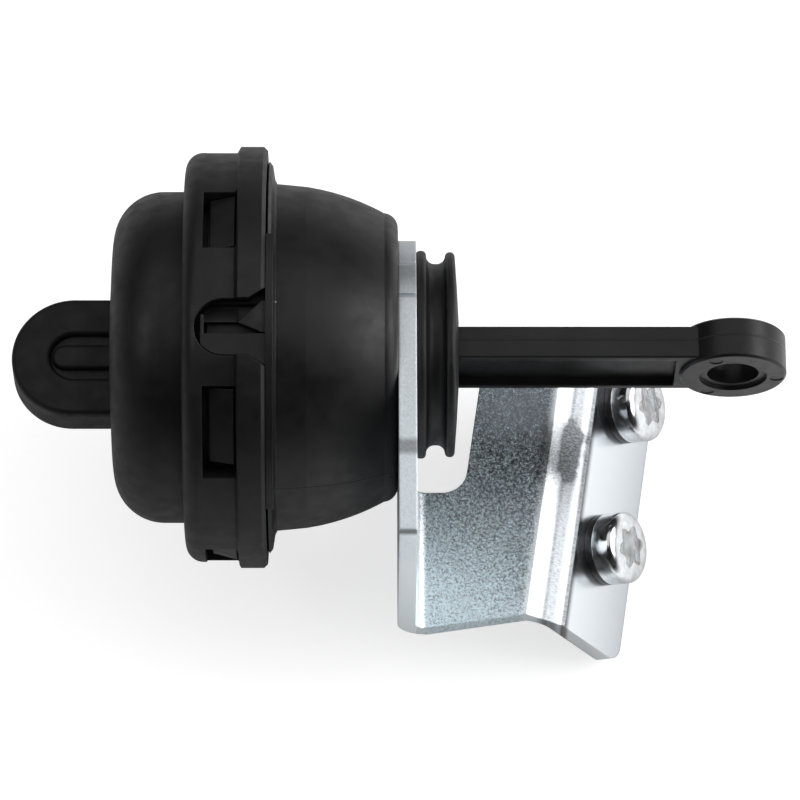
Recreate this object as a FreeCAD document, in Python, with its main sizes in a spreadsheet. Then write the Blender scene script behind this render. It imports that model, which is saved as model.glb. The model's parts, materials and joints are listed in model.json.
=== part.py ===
import FreeCAD, Part
import math
import os
import Sketcher

# Vacuum modulator valve with its mounting bracket, at real size in millimetres.
# The origin is the centre of the hole in the rod's eye.
# +X runs along the rod out of the can, +Y along the eye's hole, and +Z is up.

os.makedirs("parts", exist_ok=True)
doc = FreeCAD.newDocument("vacuum_modulator_valve")
sheet = doc.addObject("Spreadsheet::Sheet", "Sizes")

HALF = 0.5
TWICE = 2
WHOLE_TURN = 360.0
RIGHT_ANGLE = 90.0
ORIGIN_INDEX = -1
START_INDEX = 1
END_INDEX = 2
CENTRE_INDEX = 3
V_AXIS_INDEX = -2
H_AXIS_INDEX = -1

# Driving sizes, in millimetres and degrees

SIZES = [
    ("fit_gap", 0.05, "gap between parts that fit together and do not move"),
    ("slide_gap", 0.08, "gap each side of the rod in its guide bush"),
    ("free_gap", 0.35, "gap between parts that pass each other freely"),
    ("travel", 10.0, "stroke of the rod until its stub meets the closed end"),
    # can
    ("cover_face", 86.85, "rod eye to the closed end of the cover"),
    ("cover_radius", 23.15, "outside radius of the cover's drum"),
    ("cover_corner", 7.0, "rounding at the closed end"),
    ("cover_crown", 0.45, "how far the closed end is domed"),
    ("cover_crown_radius", 9.0, "radius where the doming starts"),
    ("wall", 2.0, "wall of the moulded shells"),
    ("collar_back", 76.35, "rod eye to the collar's back face"),
    ("collar_front", 65.0, "rod eye to the collar's open edge"),
    ("collar_radius", 28.6, "outside radius of the collar"),
    ("collar_corner", 2.4, "rounding of the collar's back corner"),
    ("collar_band_rise", 0.85, "height of the raised band"),
    ("collar_band_start", 69.2, "rod eye to the start of the raised band"),
    ("collar_band_round", 0.5, "rounding of the raised band"),
    ("skirt_inner", 26.1, "inside radius of the collar's skirt"),
    ("window_back", 73.5, "rod eye to the back edge of a lug window"),
    ("window_front", 68.9, "rod eye to the front edge of a lug window"),
    ("window_arc", 27.2, "angle one window spans"),
    ("window_first", 15.3, "angle of the first window"),
    ("window_count", 6, "lug windows round the collar"),
    ("window_short", 6.4, "angle missing from the window beside the notch"),
    ("lug_back_radius", 27.4, "radius of a lug at its back edge"),
    ("lug_front_radius", 28.25, "radius of a lug at its front edge"),
    ("lug_gap_back", 0.95, "gap behind a lug in its window"),
    ("lug_gap_front", 0.3, "gap in front of a lug in its window"),
    ("lug_gap_high", 1.0, "angle between a lug and its window, leading end"),
    ("lug_gap_low", 4.1, "angle between a lug and its window, trailing end"),
    # locking notch and tongue
    ("notch_angle", -15.0, "angle of the locking notch"),
    ("notch_back", 74.55, "rod eye to the rounded end of the notch"),
    ("notch_half", 3.9, "half width of the notch"),
    ("notch_flare", 1.45, "extra half width at the notch's mouth"),
    ("notch_flare_length", 2.25, "length of the flared mouth"),
    ("notch_sink", 0.2, "how far the notch is cut past the skirt's inside"),
    ("notch_snug", 0.1, "gap between the locking tongue and the notch"),
    ("tongue_corner", 36.6, "angle where the tongue leaves the notch's round end"),
    ("tongue_edge", -0.85, "notch's middle to the tongue's inner edge"),
    ("tongue_radius", 28.3, "radius of the tongue's top"),
    ("tongue_rib", 0.45, "width of the rib at the tongue's end"),
    ("tongue_rib_end", 1.75, "notch's middle to the end of the rib"),
    ("stop_low", 0.85, "notch's middle to the stop's lower side"),
    ("stop_width", 2.0, "width of the stop"),
    ("stop_radius", 27.0, "radius of the stop's high side"),
    ("stop_fall", 1.0, "height lost across the stop"),
    ("stop_front", 68.7, "rod eye to the front of the stop"),
    ("wedge_front", 65.4, "rod eye to the widest line of the wedge"),
    ("wedge_low", -0.7, "notch's middle to the wedge's lower corner"),
    ("wedge_width", 4.3, "width of the wedge"),
    ("wedge_radius", 28.4, "radius of the wedge's top"),
    ("wedge_fall", 1.3, "height lost towards the wedge's tip"),
    # front housing
    ("rim_radius", 25.7, "outside radius of the housing's rim"),
    ("rim_back", 72.9, "rod eye to the edge that clamps the diaphragm"),
    ("lip_front", 63.95, "rod eye to the front of the housing's lip"),
    ("lip_radius", 27.4, "outside radius of the lip"),
    ("lip_round", 0.6, "rounding of the lip"),
    ("step_radius", 28.9, "outside radius of the stepped part of the lip"),
    ("step_angle", -28.4, "middle of the stepped part of the lip"),
    ("step_arc", 81.2, "angle the stepped part spans"),
    ("dome_start_radius", 24.25, "dome radius next to the lip"),
    ("dome_arc_start", 59.5, "rod eye to the start of the dome's curve"),
    ("dome_arc_radius_at", 23.85, "dome radius where its curve starts"),
    ("dome_end_radius", 20.2, "dome radius at the end of its curve"),
    ("dome_arc_end", 48.75, "rod eye to the end of the dome's curve"),
    ("dome_curve", 33.0, "radius of the dome's curve"),
    ("dome_corner", 2.1, "rounding at the dome's front corner"),
    ("dome_face", 46.85, "rod eye to the dome's front face"),
    ("dome_face_radius", 18.3, "radius of the flat front face"),
    ("neck_radius", 9.0, "outside radius of the neck"),
    ("neck_bore", 7.4, "inside radius of the neck"),
    ("neck_end", 40.7, "rod eye to the end of the neck"),
    ("neck_bead", 0.35, "height of the snap bead on the neck"),
    ("neck_bead_length", 0.9, "length of the snap bead"),
    # vacuum port
    ("port_end", 92.3, "rod eye to the centre of the port's round end"),
    ("port_radius", 8.55, "half width of the port"),
    ("port_depth", 6.2, "thickness of the port"),
    ("port_round", 0.9, "rounding of the port's edges"),
    ("port_pocket", 3.6, "half width of the pocket in the port"),
    ("port_pocket_depth", 1.1, "depth of the pocket in the port"),
    ("port_barrel", 1.75, "half width of the raised barrel"),
    ("port_barrel_end", 94.8, "rod eye to the barrel's round end"),
    ("port_barrel_rise", 0.8, "height of the barrel above the pocket's floor"),
    ("port_channel", 1.3, "radius of the air channel"),
    ("nipple_radius", 2.6, "radius of the hose nipple"),
    ("nipple_length", 12.0, "length of the hose nipple"),
    ("nipple_tip", 0.5, "chamfer at the nipple's tip"),
    # diaphragm and moving stack
    ("bead_width", 2.4, "width of the diaphragm's bead"),
    ("rubber", 0.9, "thickness of the diaphragm"),
    ("roll_depth", 1.1, "depth of the diaphragm's rolled fold"),
    ("cup_face", 54.0, "rod eye to the cup's closed face"),
    ("cup_radius", 17.3, "outside radius of the cup at its closed end"),
    ("cup_mouth_radius", 18.2, "outside radius of the cup's mouth"),
    ("cup_length", 11.5, "length of the cup"),
    ("cup_wall", 1.5, "wall of the cup"),
    ("seat_radius", 9.6, "radius of the spring seats' centring ring"),
    ("seat_height", 1.6, "height of the centring ring"),
    ("seat_wall", 1.3, "wall of the centring ring"),
    ("plate_radius", 13.0, "radius of the clamp plate"),
    ("plate_thickness", 1.2, "thickness of the clamp plate"),
    ("stub_radius", 4.0, "radius of the rod's stub"),
    ("shoulder_radius", 6.4, "radius of the rod's shoulder"),
    ("shoulder_thickness", 1.5, "thickness of the rod's shoulder"),
    ("ring_groove", 3.3, "radius of the retaining ring's groove"),
    ("ring_thickness", 1.0, "thickness of the retaining ring"),
    ("ring_radius", 7.0, "outside radius of the retaining ring"),
    ("ring_slot", 1.6, "width of the slots in the retaining ring"),
    ("ring_slot_reach", 5.6, "radius the slots reach"),
    ("ring_slot_count", 3, "slots in the retaining ring"),
    ("stop_ring_inner", 7.9, "inside radius of the rubber stop ring"),
    ("stop_ring_outer", 10.9, "outside radius of the rubber stop ring"),
    ("spring_wire", 1.7, "diameter of the spring's wire"),
    ("spring_radius", 12.2, "radius of the coil's centre line"),
    ("spring_turns", 5.5, "turns of the spring"),
    # rod
    ("bar_height", 11.1, "height of the bar"),
    ("bar_width", 4.8, "width of the bar"),
    ("bar_rim", 1.15, "rim left round the bar's side pockets"),
    ("bar_pocket_depth", 1.1, "depth of the bar's side pockets"),
    ("bar_pocket_start", 47.5, "rod eye to the inner end of the pockets"),
    ("bar_pocket_end", 8.1, "rod eye to the outer end of the pockets"),
    ("bar_edge", 0.35, "rounding of the bar's long edges"),
    ("eye_radius", 7.5, "outside radius of the eye"),
    ("eye_width", 5.9, "width of the eye"),
    ("eye_hole", 3.6, "radius of the eye's hole"),
    ("eye_recess", 4.75, "radius of the recess round the hole"),
    ("eye_recess_depth", 0.5, "depth of the recess round the hole"),
    ("eye_edge", 0.3, "chamfer of the eye's edges"),
    ("ejector_radius", 1.0, "radius of an ejector mark"),
    ("ejector_depth", 0.12, "depth of an ejector mark"),
    ("ejector_ring", 6.1, "radius the ejector marks lie on"),
    ("ejector_first", -3.5, "angle of the first ejector mark"),
    ("ejector_count", 3, "ejector marks on the eye"),
    # guide bush and retaining collar
    ("bush_back", 48.3, "rod eye to the inner end of the guide bush"),
    ("bush_flange", 0.8, "thickness of the guide bush's flange"),
    ("bush_flange_radius", 8.8, "radius of the guide bush's flange"),
    ("spool_front", 38.9, "rod eye to the front of the spool's rim"),
    ("spool_crown", 0.55, "how far the spool's end is domed"),
    ("spool_crown_edge", 10.0, "radius where half the doming is reached"),
    ("spool_crown_flat", 5.0, "radius of the flat inside the doming"),
    ("spool_radius", 14.55, "outside radius of the spool's rims"),
    ("spool_front_radius", 14.35, "outside radius of the spool's front rim"),
    ("spool_groove", 12.7, "radius at the bottom of the spool's groove"),
    ("spool_back_rim", 1.45, "thickness of the spool's back rim"),
    ("spool_front_rim", 1.35, "thickness of the spool's front rim"),
    ("spool_rim_round", 0.62, "rounding of the spool's rims"),
    ("spool_groove_round", 1.15, "rounding at the bottom of the groove"),
    ("spool_shift", 0.42, "how far the spool sits to one side"),
    # bracket
    ("sheet_metal", 2.5, "thickness of the bracket's sheet"),
    ("flange_radius", 16.3, "radius of the bracket's round end"),
    ("flange_foot", 33.0, "axis to the flange's lower edge"),
    ("flange_foot_round", 1.2, "rounding of the flange's free corner"),
    ("web_level", 19.87, "axis down to the web's upper face"),
    ("web_fold_radius", 1.8, "inside radius of the first bend"),
    ("web_root", 12.4, "axis to the web's edge at the flange"),
    ("web_shoulder", 9.5, "axis to the start of the flange's taper"),
    ("notch_cut_width", 1.1, "width of the small notches in the round end"),
    ("notch_cut_depth", 0.5, "depth of the small notches in the round end"),
    ("notch_cut_a", 60.0, "angle of the first small notch"),
    ("notch_cut_b", 81.4, "angle of the second small notch"),
    ("bend_x", 27.05, "rod eye to the second bend at its reference point"),
    ("bend_y", 20.0, "axis to the second bend's reference point"),
    ("bend_tilt", 8.2, "tilt of the second bend"),
    ("bend_turn", 55.7, "angle of the second bend"),
    ("bend_outer", 6.7, "outside radius of the second bend"),
    ("arm_low", 11.0, "reference point down to the arm's lower end"),
    ("arm_width", 11.25, "width of the arm beside the cut-out"),
    ("cutout_round", 3.6, "rounding in the cut-out's corner"),
    ("plate_width", 14.5, "width of the screw plate"),
    ("plate_round", 2.6, "rounding of the screw plate's corners"),
    ("screw_in", 7.05, "bend to the screws"),
    ("screw_low", 3.66, "reference point up to the lower screw"),
    ("screw_pitch", 22.24, "distance between the screws"),
    ("screw_margin", 6.1, "upper screw to the arm's upper end"),
    ("screw_hole_gap", 0.15, "gap between a screw and its hole"),
    # screws
    ("washer_radius", 5.15, "outside radius of a screw's washer"),
    ("washer_thickness", 1.0, "thickness of a screw's washer"),
    ("head_radius", 5.2, "outside radius of a screw's head"),
    ("head_side", 1.5, "height of the head's straight side"),
    ("head_height", 3.2, "height of the head"),
    ("head_top_radius", 3.3, "radius of the head's flat top"),
    ("head_curve", 3.4, "radius of the head's curved shoulder"),
    ("shank_radius", 2.5, "radius of a screw's shank"),
    ("shank_length", 12.0, "length of the shank under the head"),
    ("shank_neck", 2.05, "radius of the plain neck under the head"),
    ("shank_neck_length", 4.0, "length of the plain neck"),
    ("shank_tip", 0.6, "chamfer at the shank's tip"),
    ("recess_radius", 2.25, "inside radius of the driving recess"),
    ("recess_lobe", 0.62, "radius of one lobe of the driving recess"),
    ("recess_reach", 2.4, "radius the lobes lie on"),
    ("recess_depth", 1.9, "depth of the driving recess"),
    ("recess_lobes", 6, "lobes of the driving recess"),
]


class Size:
    """A number together with the sheet expression that drives it."""

    def __init__(self, text, value):
        self.text = text
        self.value = float(value)

    def join(self, sign, other, value):
        return Size("(%s %s %s)" % (self.text, sign, other.text), value)

    def __add__(self, other):
        other = as_size(other)
        return self.join("+", other, self.value + other.value)

    def __sub__(self, other):
        other = as_size(other)
        return self.join("-", other, self.value - other.value)

    def __mul__(self, other):
        other = as_size(other)
        return self.join("*", other, self.value * other.value)

    def __truediv__(self, other):
        other = as_size(other)
        return self.join("/", other, self.value / other.value)

    def __neg__(self):
        return Size("(0 - %s)" % self.text, -self.value)

    __radd__ = __add__
    __rmul__ = __mul__


def as_size(number):
    if isinstance(number, Size):
        return number
    return Size(repr(float(number)), number)


def sine(angle):
    angle = as_size(angle)
    return Size("sin(%s * 1 deg)" % angle.text, math.sin(math.radians(angle.value)))


def cosine(angle):
    angle = as_size(angle)
    return Size("cos(%s * 1 deg)" % angle.text, math.cos(math.radians(angle.value)))


class Named:
    """The driving sizes by name."""


S = Named()
for row, (alias, value, note) in enumerate(SIZES, start=1):
    sheet.set("A%d" % row, note)
    sheet.set("B%d" % row, str(value))
    sheet.setAlias("B%d" % row, alias)
    setattr(S, alias, Size("Sizes." + alias, value))
doc.recompute()
ZERO = as_size(0.0)
BAND_RADIUS = S.collar_radius + S.collar_band_rise
LUG_ROOT = S.rim_radius - S.wall * HALF
BEAD_RADIUS = LUG_ROOT - S.fit_gap
ARM_HIGH = S.screw_low + S.screw_pitch + S.screw_margin


# Helpers for sketches and features

def origin_plane(body, role):
    return [item for item in body.Origin.OriginFeatures if item.Role == role][0]


def place_text(base, turns):
    numbers = "; ".join(as_size(item).text for item in base)
    angles = "; ".join(as_size(item).text for item in turns)
    return (
        "create(<<placement>>; create(<<vector>>; %s); create(<<rotation>>; %s))"
        % (numbers, angles)
    )


def new_body(name):
    body = doc.addObject("PartDesign::Body", name)
    body.Label = name
    return body


def new_sketch(body, name, role="XZ_Plane", base=None, turns=None):
    sketch = body.newObject("Sketcher::SketchObject", name)
    sketch.AttachmentSupport = [(origin_plane(body, role), "")]
    sketch.MapMode = "FlatFace"
    if base is not None or turns is not None:
        base = base or (ZERO, ZERO, ZERO)
        turns = turns or (ZERO, ZERO, ZERO)
        sketch.setExpression("AttachmentOffset", place_text(base, turns))
    return sketch


def drive(sketch, index, size):
    sketch.setExpression("Constraints[%d]" % index, size.text)


def pin_point(sketch, item, point, spot):
    x, y = as_size(spot[0]), as_size(spot[1])
    for kind, size, axis in (("DistanceX", x, V_AXIS_INDEX), ("DistanceY", y, H_AXIS_INDEX)):
        if size.text == ZERO.text:
            sketch.addConstraint(Sketcher.Constraint("PointOnObject", item, point, axis))
            continue
        index = sketch.addConstraint(
            Sketcher.Constraint(kind, ORIGIN_INDEX, START_INDEX, item, point, size.value)
        )
        drive(sketch, index, size)


def arc_geometry(start, end, radius, side):
    """The shorter arc from start to end with its centre left (1) or right (-1)."""
    ax, ay = as_size(start[0]).value, as_size(start[1]).value
    bx, by = as_size(end[0]).value, as_size(end[1]).value
    span = math.hypot(bx - ax, by - ay)
    rise = math.sqrt(max(radius * radius - span * span * HALF * HALF, 0.0))
    cx = (ax + bx) * HALF - side * (by - ay) / span * rise
    cy = (ay + by) * HALF + side * (bx - ax) / span * rise
    first = math.atan2(ay - cy, ax - cx)
    last = math.atan2(by - cy, bx - cx)
    if side < 0:
        first, last = last, first
    circle = Part.Circle(FreeCAD.Vector(cx, cy, 0), FreeCAD.Vector(0, 0, 1), radius)
    return Part.ArcOfCircle(circle, first, last)


def draw(sketch, path):
    """A closed outline. Each step is (x, y) for a line to it or
    (x, y, radius, side) for an arc to it. The first step is the start."""
    start = path[0][:2]
    here = start
    steps = list(path[1:]) + [start]
    if len(path[0]) > 2:
        steps[-1] = path[0]
    items = []
    for step in steps:
        there = step[:2]
        ax, ay = as_size(here[0]).value, as_size(here[1]).value
        bx, by = as_size(there[0]).value, as_size(there[1]).value
        if len(step) == 2:
            line = Part.LineSegment(FreeCAD.Vector(ax, ay, 0), FreeCAD.Vector(bx, by, 0))
            item = sketch.addGeometry(line, False)
            items.append((item, START_INDEX, END_INDEX))
        else:
            radius, side = as_size(step[2]), step[3]
            item = sketch.addGeometry(arc_geometry(here, there, radius.value, side), False)
            ends = (START_INDEX, END_INDEX) if side > 0 else (END_INDEX, START_INDEX)
            items.append((item,) + ends)
            index = sketch.addConstraint(Sketcher.Constraint("Radius", item, radius.value))
            drive(sketch, index, radius)
        here = there
    corners = [start] + [step[:2] for step in steps[:-1]]
    for number, (item, first, last) in enumerate(items):
        previous = items[number - 1]
        sketch.addConstraint(
            Sketcher.Constraint("Coincident", previous[0], previous[2], item, first)
        )
        pin_point(sketch, item, first, corners[number])


def draw_circle(sketch, spot, radius):
    x, y = as_size(spot[0]), as_size(spot[1])
    centre = FreeCAD.Vector(x.value, y.value, 0)
    circle = Part.Circle(centre, FreeCAD.Vector(0, 0, 1), as_size(radius).value)
    item = sketch.addGeometry(circle, False)
    index = sketch.addConstraint(Sketcher.Constraint("Radius", item, as_size(radius).value))
    drive(sketch, index, as_size(radius))
    pin_point(sketch, item, CENTRE_INDEX, (x, y))


def box_path(x0, x1, y0, y1):
    return [(x0, y0), (x1, y0), (x1, y1), (x0, y1)]


def slot_path(x_far, x_near, half, middle=ZERO):
    """A bar with a round end at x_far, open to x_near, on the line y = middle."""
    return [
        (x_near, middle - half),
        (x_near, middle + half),
        (x_far, middle + half),
        (x_far - half, middle, half, 1),
        (x_far, middle - half, half, 1),
    ]


def extrude(body, name, sketch, length, kind="PartDesign::Pad", back=False, middle=False):
    feature = body.newObject(kind, name)
    feature.Profile = sketch
    feature.setExpression("Length", as_size(length).text)
    feature.Length = as_size(length).value
    feature.Reversed = back
    if middle:
        feature.Midplane = True
    body.Tip = feature
    return feature


def pocket(body, name, sketch, length, back=False, middle=False):
    return extrude(body, name, sketch, length, "PartDesign::Pocket", back, middle)


def spin(body, name, sketch, kind="PartDesign::Revolution", angle=None, axis="H_Axis"):
    feature = body.newObject(kind, name)
    feature.Profile = sketch
    feature.ReferenceAxis = (sketch, [axis])
    feature.Angle = WHOLE_TURN
    if angle is not None:
        feature.Angle = as_size(angle).value
        feature.setExpression("Angle", as_size(angle).text)
        feature.Midplane = True
    body.Tip = feature
    return feature


def ring_pattern(body, name, features, sketch, count, angle=None, axis="H_Axis"):
    pattern = body.newObject("PartDesign::PolarPattern", name)
    pattern.Originals = features
    pattern.Axis = (sketch, [axis])
    pattern.Angle = WHOLE_TURN
    if angle is not None:
        pattern.Angle = angle.value
        pattern.setExpression("Angle", angle.text)
    pattern.Occurrences = int(count.value)
    pattern.setExpression("Occurrences", count.text)
    body.Tip = pattern
    return pattern


def edges_where(shape, test):
    names = []
    for number, edge in enumerate(shape.Edges, start=1):
        if test(edge):
            names.append("Edge%d" % number)
    return names


def dress(body, name, kind, base, names, size):
    feature = body.newObject(kind, name)
    feature.Base = (base, names)
    if kind == "PartDesign::Fillet":
        feature.setExpression("Radius", size.text)
        feature.Radius = size.value
    else:
        feature.setExpression("Size", size.text)
        feature.Size = size.value
    body.Tip = feature
    return feature


def near(one, other, slack=0.02):
    return abs(one - other) < slack


# Rear cover with its collar and vacuum port

def cover_profile():
    outer = S.cover_radius
    inner = outer - S.wall
    face = -S.cover_face
    corner = S.cover_corner
    crown = face + S.cover_crown
    inner_corner = corner - S.wall
    inner_face = face + S.wall
    step = -S.collar_back + S.wall
    back = -S.collar_back
    front = -S.collar_front
    band = -S.collar_band_start
    blend = S.collar_corner
    return [
        (face, ZERO),
        (face, S.cover_crown_radius),
        (crown, outer - corner),
        (crown + corner, outer, corner, -1),
        (back, outer),
        (back, S.collar_radius - blend),
        (back + blend, S.collar_radius, blend, -1),
        (band, S.collar_radius),
        (band + S.collar_band_round, BAND_RADIUS),
        (front - S.collar_band_round, BAND_RADIUS),
        (front, BAND_RADIUS - S.collar_band_round),
        (front, S.skirt_inner),
        (step, S.skirt_inner),
        (step, inner),
        (inner_face + S.cover_crown + inner_corner, inner),
        (inner_face + S.cover_crown, inner - inner_corner, inner_corner, 1),
        (inner_face + S.cover_crown, ZERO),
    ]


def ring_of(body, name, path, kind, gap_low, gap_high):
    """A cut or a block at each window, shorter beside the locking notch."""
    arc = S.window_arc - S.window_short - gap_high - gap_high
    middle = S.window_first + S.window_short * HALF
    short = new_sketch(body, name + "_short_section", turns=(ZERO, ZERO, -middle))
    draw(short, path)
    doc.recompute()
    spin(body, name + "_short", short, kind, arc)
    doc.recompute()
    pitch = as_size(WHOLE_TURN) / S.window_count
    second = S.window_first - pitch + (gap_low - gap_high) * HALF
    sketch = new_sketch(body, name + "_section", turns=(ZERO, ZERO, -second))
    draw(sketch, path)
    doc.recompute()
    one = spin(body, name, sketch, kind, S.window_arc - gap_low - gap_high)
    doc.recompute()
    others = S.window_count - 1
    ring_pattern(body, name + "s", [one], sketch, others, pitch * (others - 1))
    doc.recompute()


def collar_windows(body):
    reach = BAND_RADIUS + S.wall
    path = box_path(-S.window_back, -S.window_front, S.skirt_inner - S.fit_gap, reach)
    ring_of(body, "window", path, "PartDesign::Groove", ZERO, ZERO)


def locking_notch(body):
    """The open notch in the collar that the locking tongue shows through."""
    level = BAND_RADIUS + S.wall
    turns = (ZERO, ZERO, -S.notch_angle)
    base = (ZERO, level * sine(S.notch_angle), level * cosine(S.notch_angle))
    sketch = new_sketch(body, "notch_outline", "XY_Plane", base, turns)
    half = S.notch_half
    mouth = half + S.notch_flare
    edge = -S.collar_front
    open_x = edge + S.wall
    flare = edge - S.notch_flare_length
    end = -S.notch_back + half
    draw(
        sketch,
        [
            (open_x, -mouth),
            (open_x, mouth),
            (edge, mouth),
            (flare, half),
            (end, half),
            (end - half, ZERO, half, 1),
            (end, -half, half, 1),
            (flare, -half),
            (edge, -mouth),
        ],
    )
    doc.recompute()
    depth = level - S.skirt_inner + S.notch_sink
    pocket(body, "locking_notch", sketch, depth)
    doc.recompute()


def vacuum_port(body):
    """The flat port with its pocket and barrel, and the nipple behind it."""
    reach = -S.cover_face + S.wall * HALF
    block = new_sketch(body, "port_outline", "XY_Plane", (ZERO, ZERO, -S.port_depth))
    draw(block, slot_path(-S.port_end, reach, S.port_radius))
    pad = extrude(body, "port_block", block, S.port_depth)
    doc.recompute()

    def is_long_rim(edge):
        box = edge.BoundBox
        flat = near(box.ZMin, box.ZMax)
        level = near(box.ZMax, 0.0) or near(box.ZMax, -S.port_depth.value)
        side = near(abs(box.YMin), S.port_radius.value) and near(box.YMin, box.YMax)
        round_end = box.XMin < -S.port_end.value - 1.0
        return flat and level and (side or round_end)

    names = edges_where(pad.Shape, is_long_rim)
    dress(body, "port_rounding", "PartDesign::Fillet", pad, names, S.port_round)
    doc.recompute()
    well = new_sketch(body, "port_pocket_outline", "XY_Plane")
    draw(well, slot_path(-S.port_end, -S.cover_face, S.port_pocket))
    pocket(body, "port_pocket", well, S.port_pocket_depth)
    doc.recompute()
    floor = -S.port_pocket_depth
    barrel = new_sketch(body, "port_barrel_outline", "XY_Plane", (ZERO, ZERO, floor))
    draw(barrel, slot_path(-S.port_barrel_end + S.port_barrel, -S.cover_face, S.port_barrel))
    extrude(body, "port_barrel", barrel, S.port_barrel_rise)
    doc.recompute()


def nipple_profile():
    """Half section of the hose nipple, height downward from the port's back."""
    root = -S.port_depth + S.wall * HALF
    end = -S.port_depth - S.nipple_length
    return [
        (ZERO, root),
        (S.nipple_radius, root),
        (S.nipple_radius, end + S.nipple_tip),
        (S.nipple_radius - S.nipple_tip, end),
        (ZERO, end),
    ]


def make_rear_cover():
    body = new_body("rear_cover")
    profile = new_sketch(body, "cover_section")
    draw(profile, cover_profile())
    spin(body, "cover_shell", profile)
    doc.recompute()
    vacuum_port(body)
    nipple = new_sketch(body, "nipple_section", "XZ_Plane", (-S.port_end, ZERO, ZERO))
    draw(nipple, nipple_profile())
    spin(body, "hose_nipple", nipple, axis="V_Axis")
    doc.recompute()
    ring = new_sketch(body, "seat_ring_section")
    floor = -S.cover_face + S.wall + S.cover_crown
    hollow = S.seat_radius - S.seat_wall
    path = box_path(floor - S.fit_gap, floor + S.seat_height, hollow, S.seat_radius)
    draw(ring, path)
    spin(body, "seat_ring", ring)
    doc.recompute()
    channel_level = -S.port_depth * HALF - S.port_pocket_depth * HALF
    bore = new_sketch(body, "channel_outline", "YZ_Plane", (ZERO, ZERO, -S.port_end))
    draw_circle(bore, (ZERO, channel_level), S.port_channel)
    through = S.wall + S.cover_crown + S.free_gap
    pocket(body, "channel", bore, S.port_end - S.cover_face + through, back=True)
    doc.recompute()
    tip = -S.port_depth - S.nipple_length
    hole = new_sketch(body, "nipple_hole_outline", "XY_Plane", (ZERO, ZERO, tip))
    draw_circle(hole, (-S.port_end, ZERO), S.port_channel)
    pocket(body, "nipple_hole", hole, channel_level - tip, back=True)
    doc.recompute()
    collar_windows(body)
    locking_notch(body)
    return body


# Front housing with its bayonet lugs

def housing_profile():
    wall = S.wall
    rim = S.rim_radius
    start = S.dome_start_radius
    lip_back = -S.collar_front
    lip_front = -S.lip_front
    face = -S.dome_face
    inner_start = start - wall
    return [
        (-S.rim_back, inner_start),
        (-S.rim_back, rim),
        (lip_back, rim),
        (lip_back, S.lip_radius - S.lip_round),
        (lip_back + S.lip_round * HALF, S.lip_radius),
        (lip_front - S.lip_round * HALF, S.lip_radius - S.lip_round),
        (lip_front, start + S.lip_round),
        (lip_front + S.lip_round * HALF, start),
        (-S.dome_arc_start, S.dome_arc_radius_at),
        (-S.dome_arc_end, S.dome_end_radius, S.dome_curve, -1),
        (face, S.dome_face_radius, S.dome_corner, -1),
        (face, S.neck_radius),
        (-S.neck_end - S.neck_bead_length, S.neck_radius),
        (-S.neck_end - S.neck_bead_length * HALF, S.neck_radius + S.neck_bead),
        (-S.neck_end, S.neck_radius),
        (-S.neck_end, S.neck_bore),
        (face - wall, S.neck_bore),
        (face - wall, S.dome_face_radius - wall * HALF),
        (-S.dome_arc_end - wall * HALF, S.dome_end_radius - wall),
        (-S.dome_arc_start, S.dome_arc_radius_at - wall, S.dome_curve - wall, 1),
    ]


def bayonet_lugs(body):
    back = -S.window_back + S.lug_gap_back
    front = -S.window_front - S.lug_gap_front
    path = [
        (back, LUG_ROOT),
        (front, LUG_ROOT),
        (front, S.lug_front_radius),
        (back, S.lug_back_radius),
    ]
    kind = "PartDesign::Revolution"
    ring_of(body, "lug", path, kind, S.lug_gap_low, S.lug_gap_high)


def radial_sketch(body, name, angle, level):
    base = (ZERO, level * sine(angle), level * cosine(angle))
    return new_sketch(body, name, "XY_Plane", base, (ZERO, ZERO, -angle))


def locking_tongue(body):
    """The tongue that fills one side of the notch, with a rib across its end."""
    edge = -S.collar_front + S.fit_gap
    half = S.notch_half - S.notch_snug
    middle = -S.notch_back + S.notch_half
    end = middle - half * cosine(S.tongue_corner)
    mouth = -S.collar_front - S.notch_flare_length
    sketch = radial_sketch(body, "tongue_outline", S.notch_angle, LUG_ROOT)
    draw(
        sketch,
        [
            (edge, -half - S.notch_flare),
            (edge, S.tongue_edge),
            (end + S.tongue_rib, S.tongue_edge),
            (end + S.tongue_rib, S.tongue_rib_end),
            (end, S.tongue_rib_end),
            (end, -half * sine(S.tongue_corner)),
            (middle, -half, half, 1),
            (mouth, -half),
        ],
    )
    extrude(body, "locking_tongue", sketch, S.tongue_radius - LUG_ROOT)
    doc.recompute()
    return end + S.tongue_rib


def locking_stop(body, back):
    """The low block beside the tongue, its top falling away from the tongue."""
    turns = (-S.notch_angle, ZERO, ZERO)
    base = (ZERO, ZERO, back)
    sketch = new_sketch(body, "stop_section", "YZ_Plane", base, turns)
    high = S.stop_low + S.stop_width
    draw(
        sketch,
        [
            (S.stop_low, LUG_ROOT),
            (high, LUG_ROOT),
            (high, S.stop_radius - S.stop_fall),
            (S.stop_low, S.stop_radius),
        ],
    )
    extrude(body, "stop_block", sketch, -S.stop_front - back)
    doc.recompute()


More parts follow.
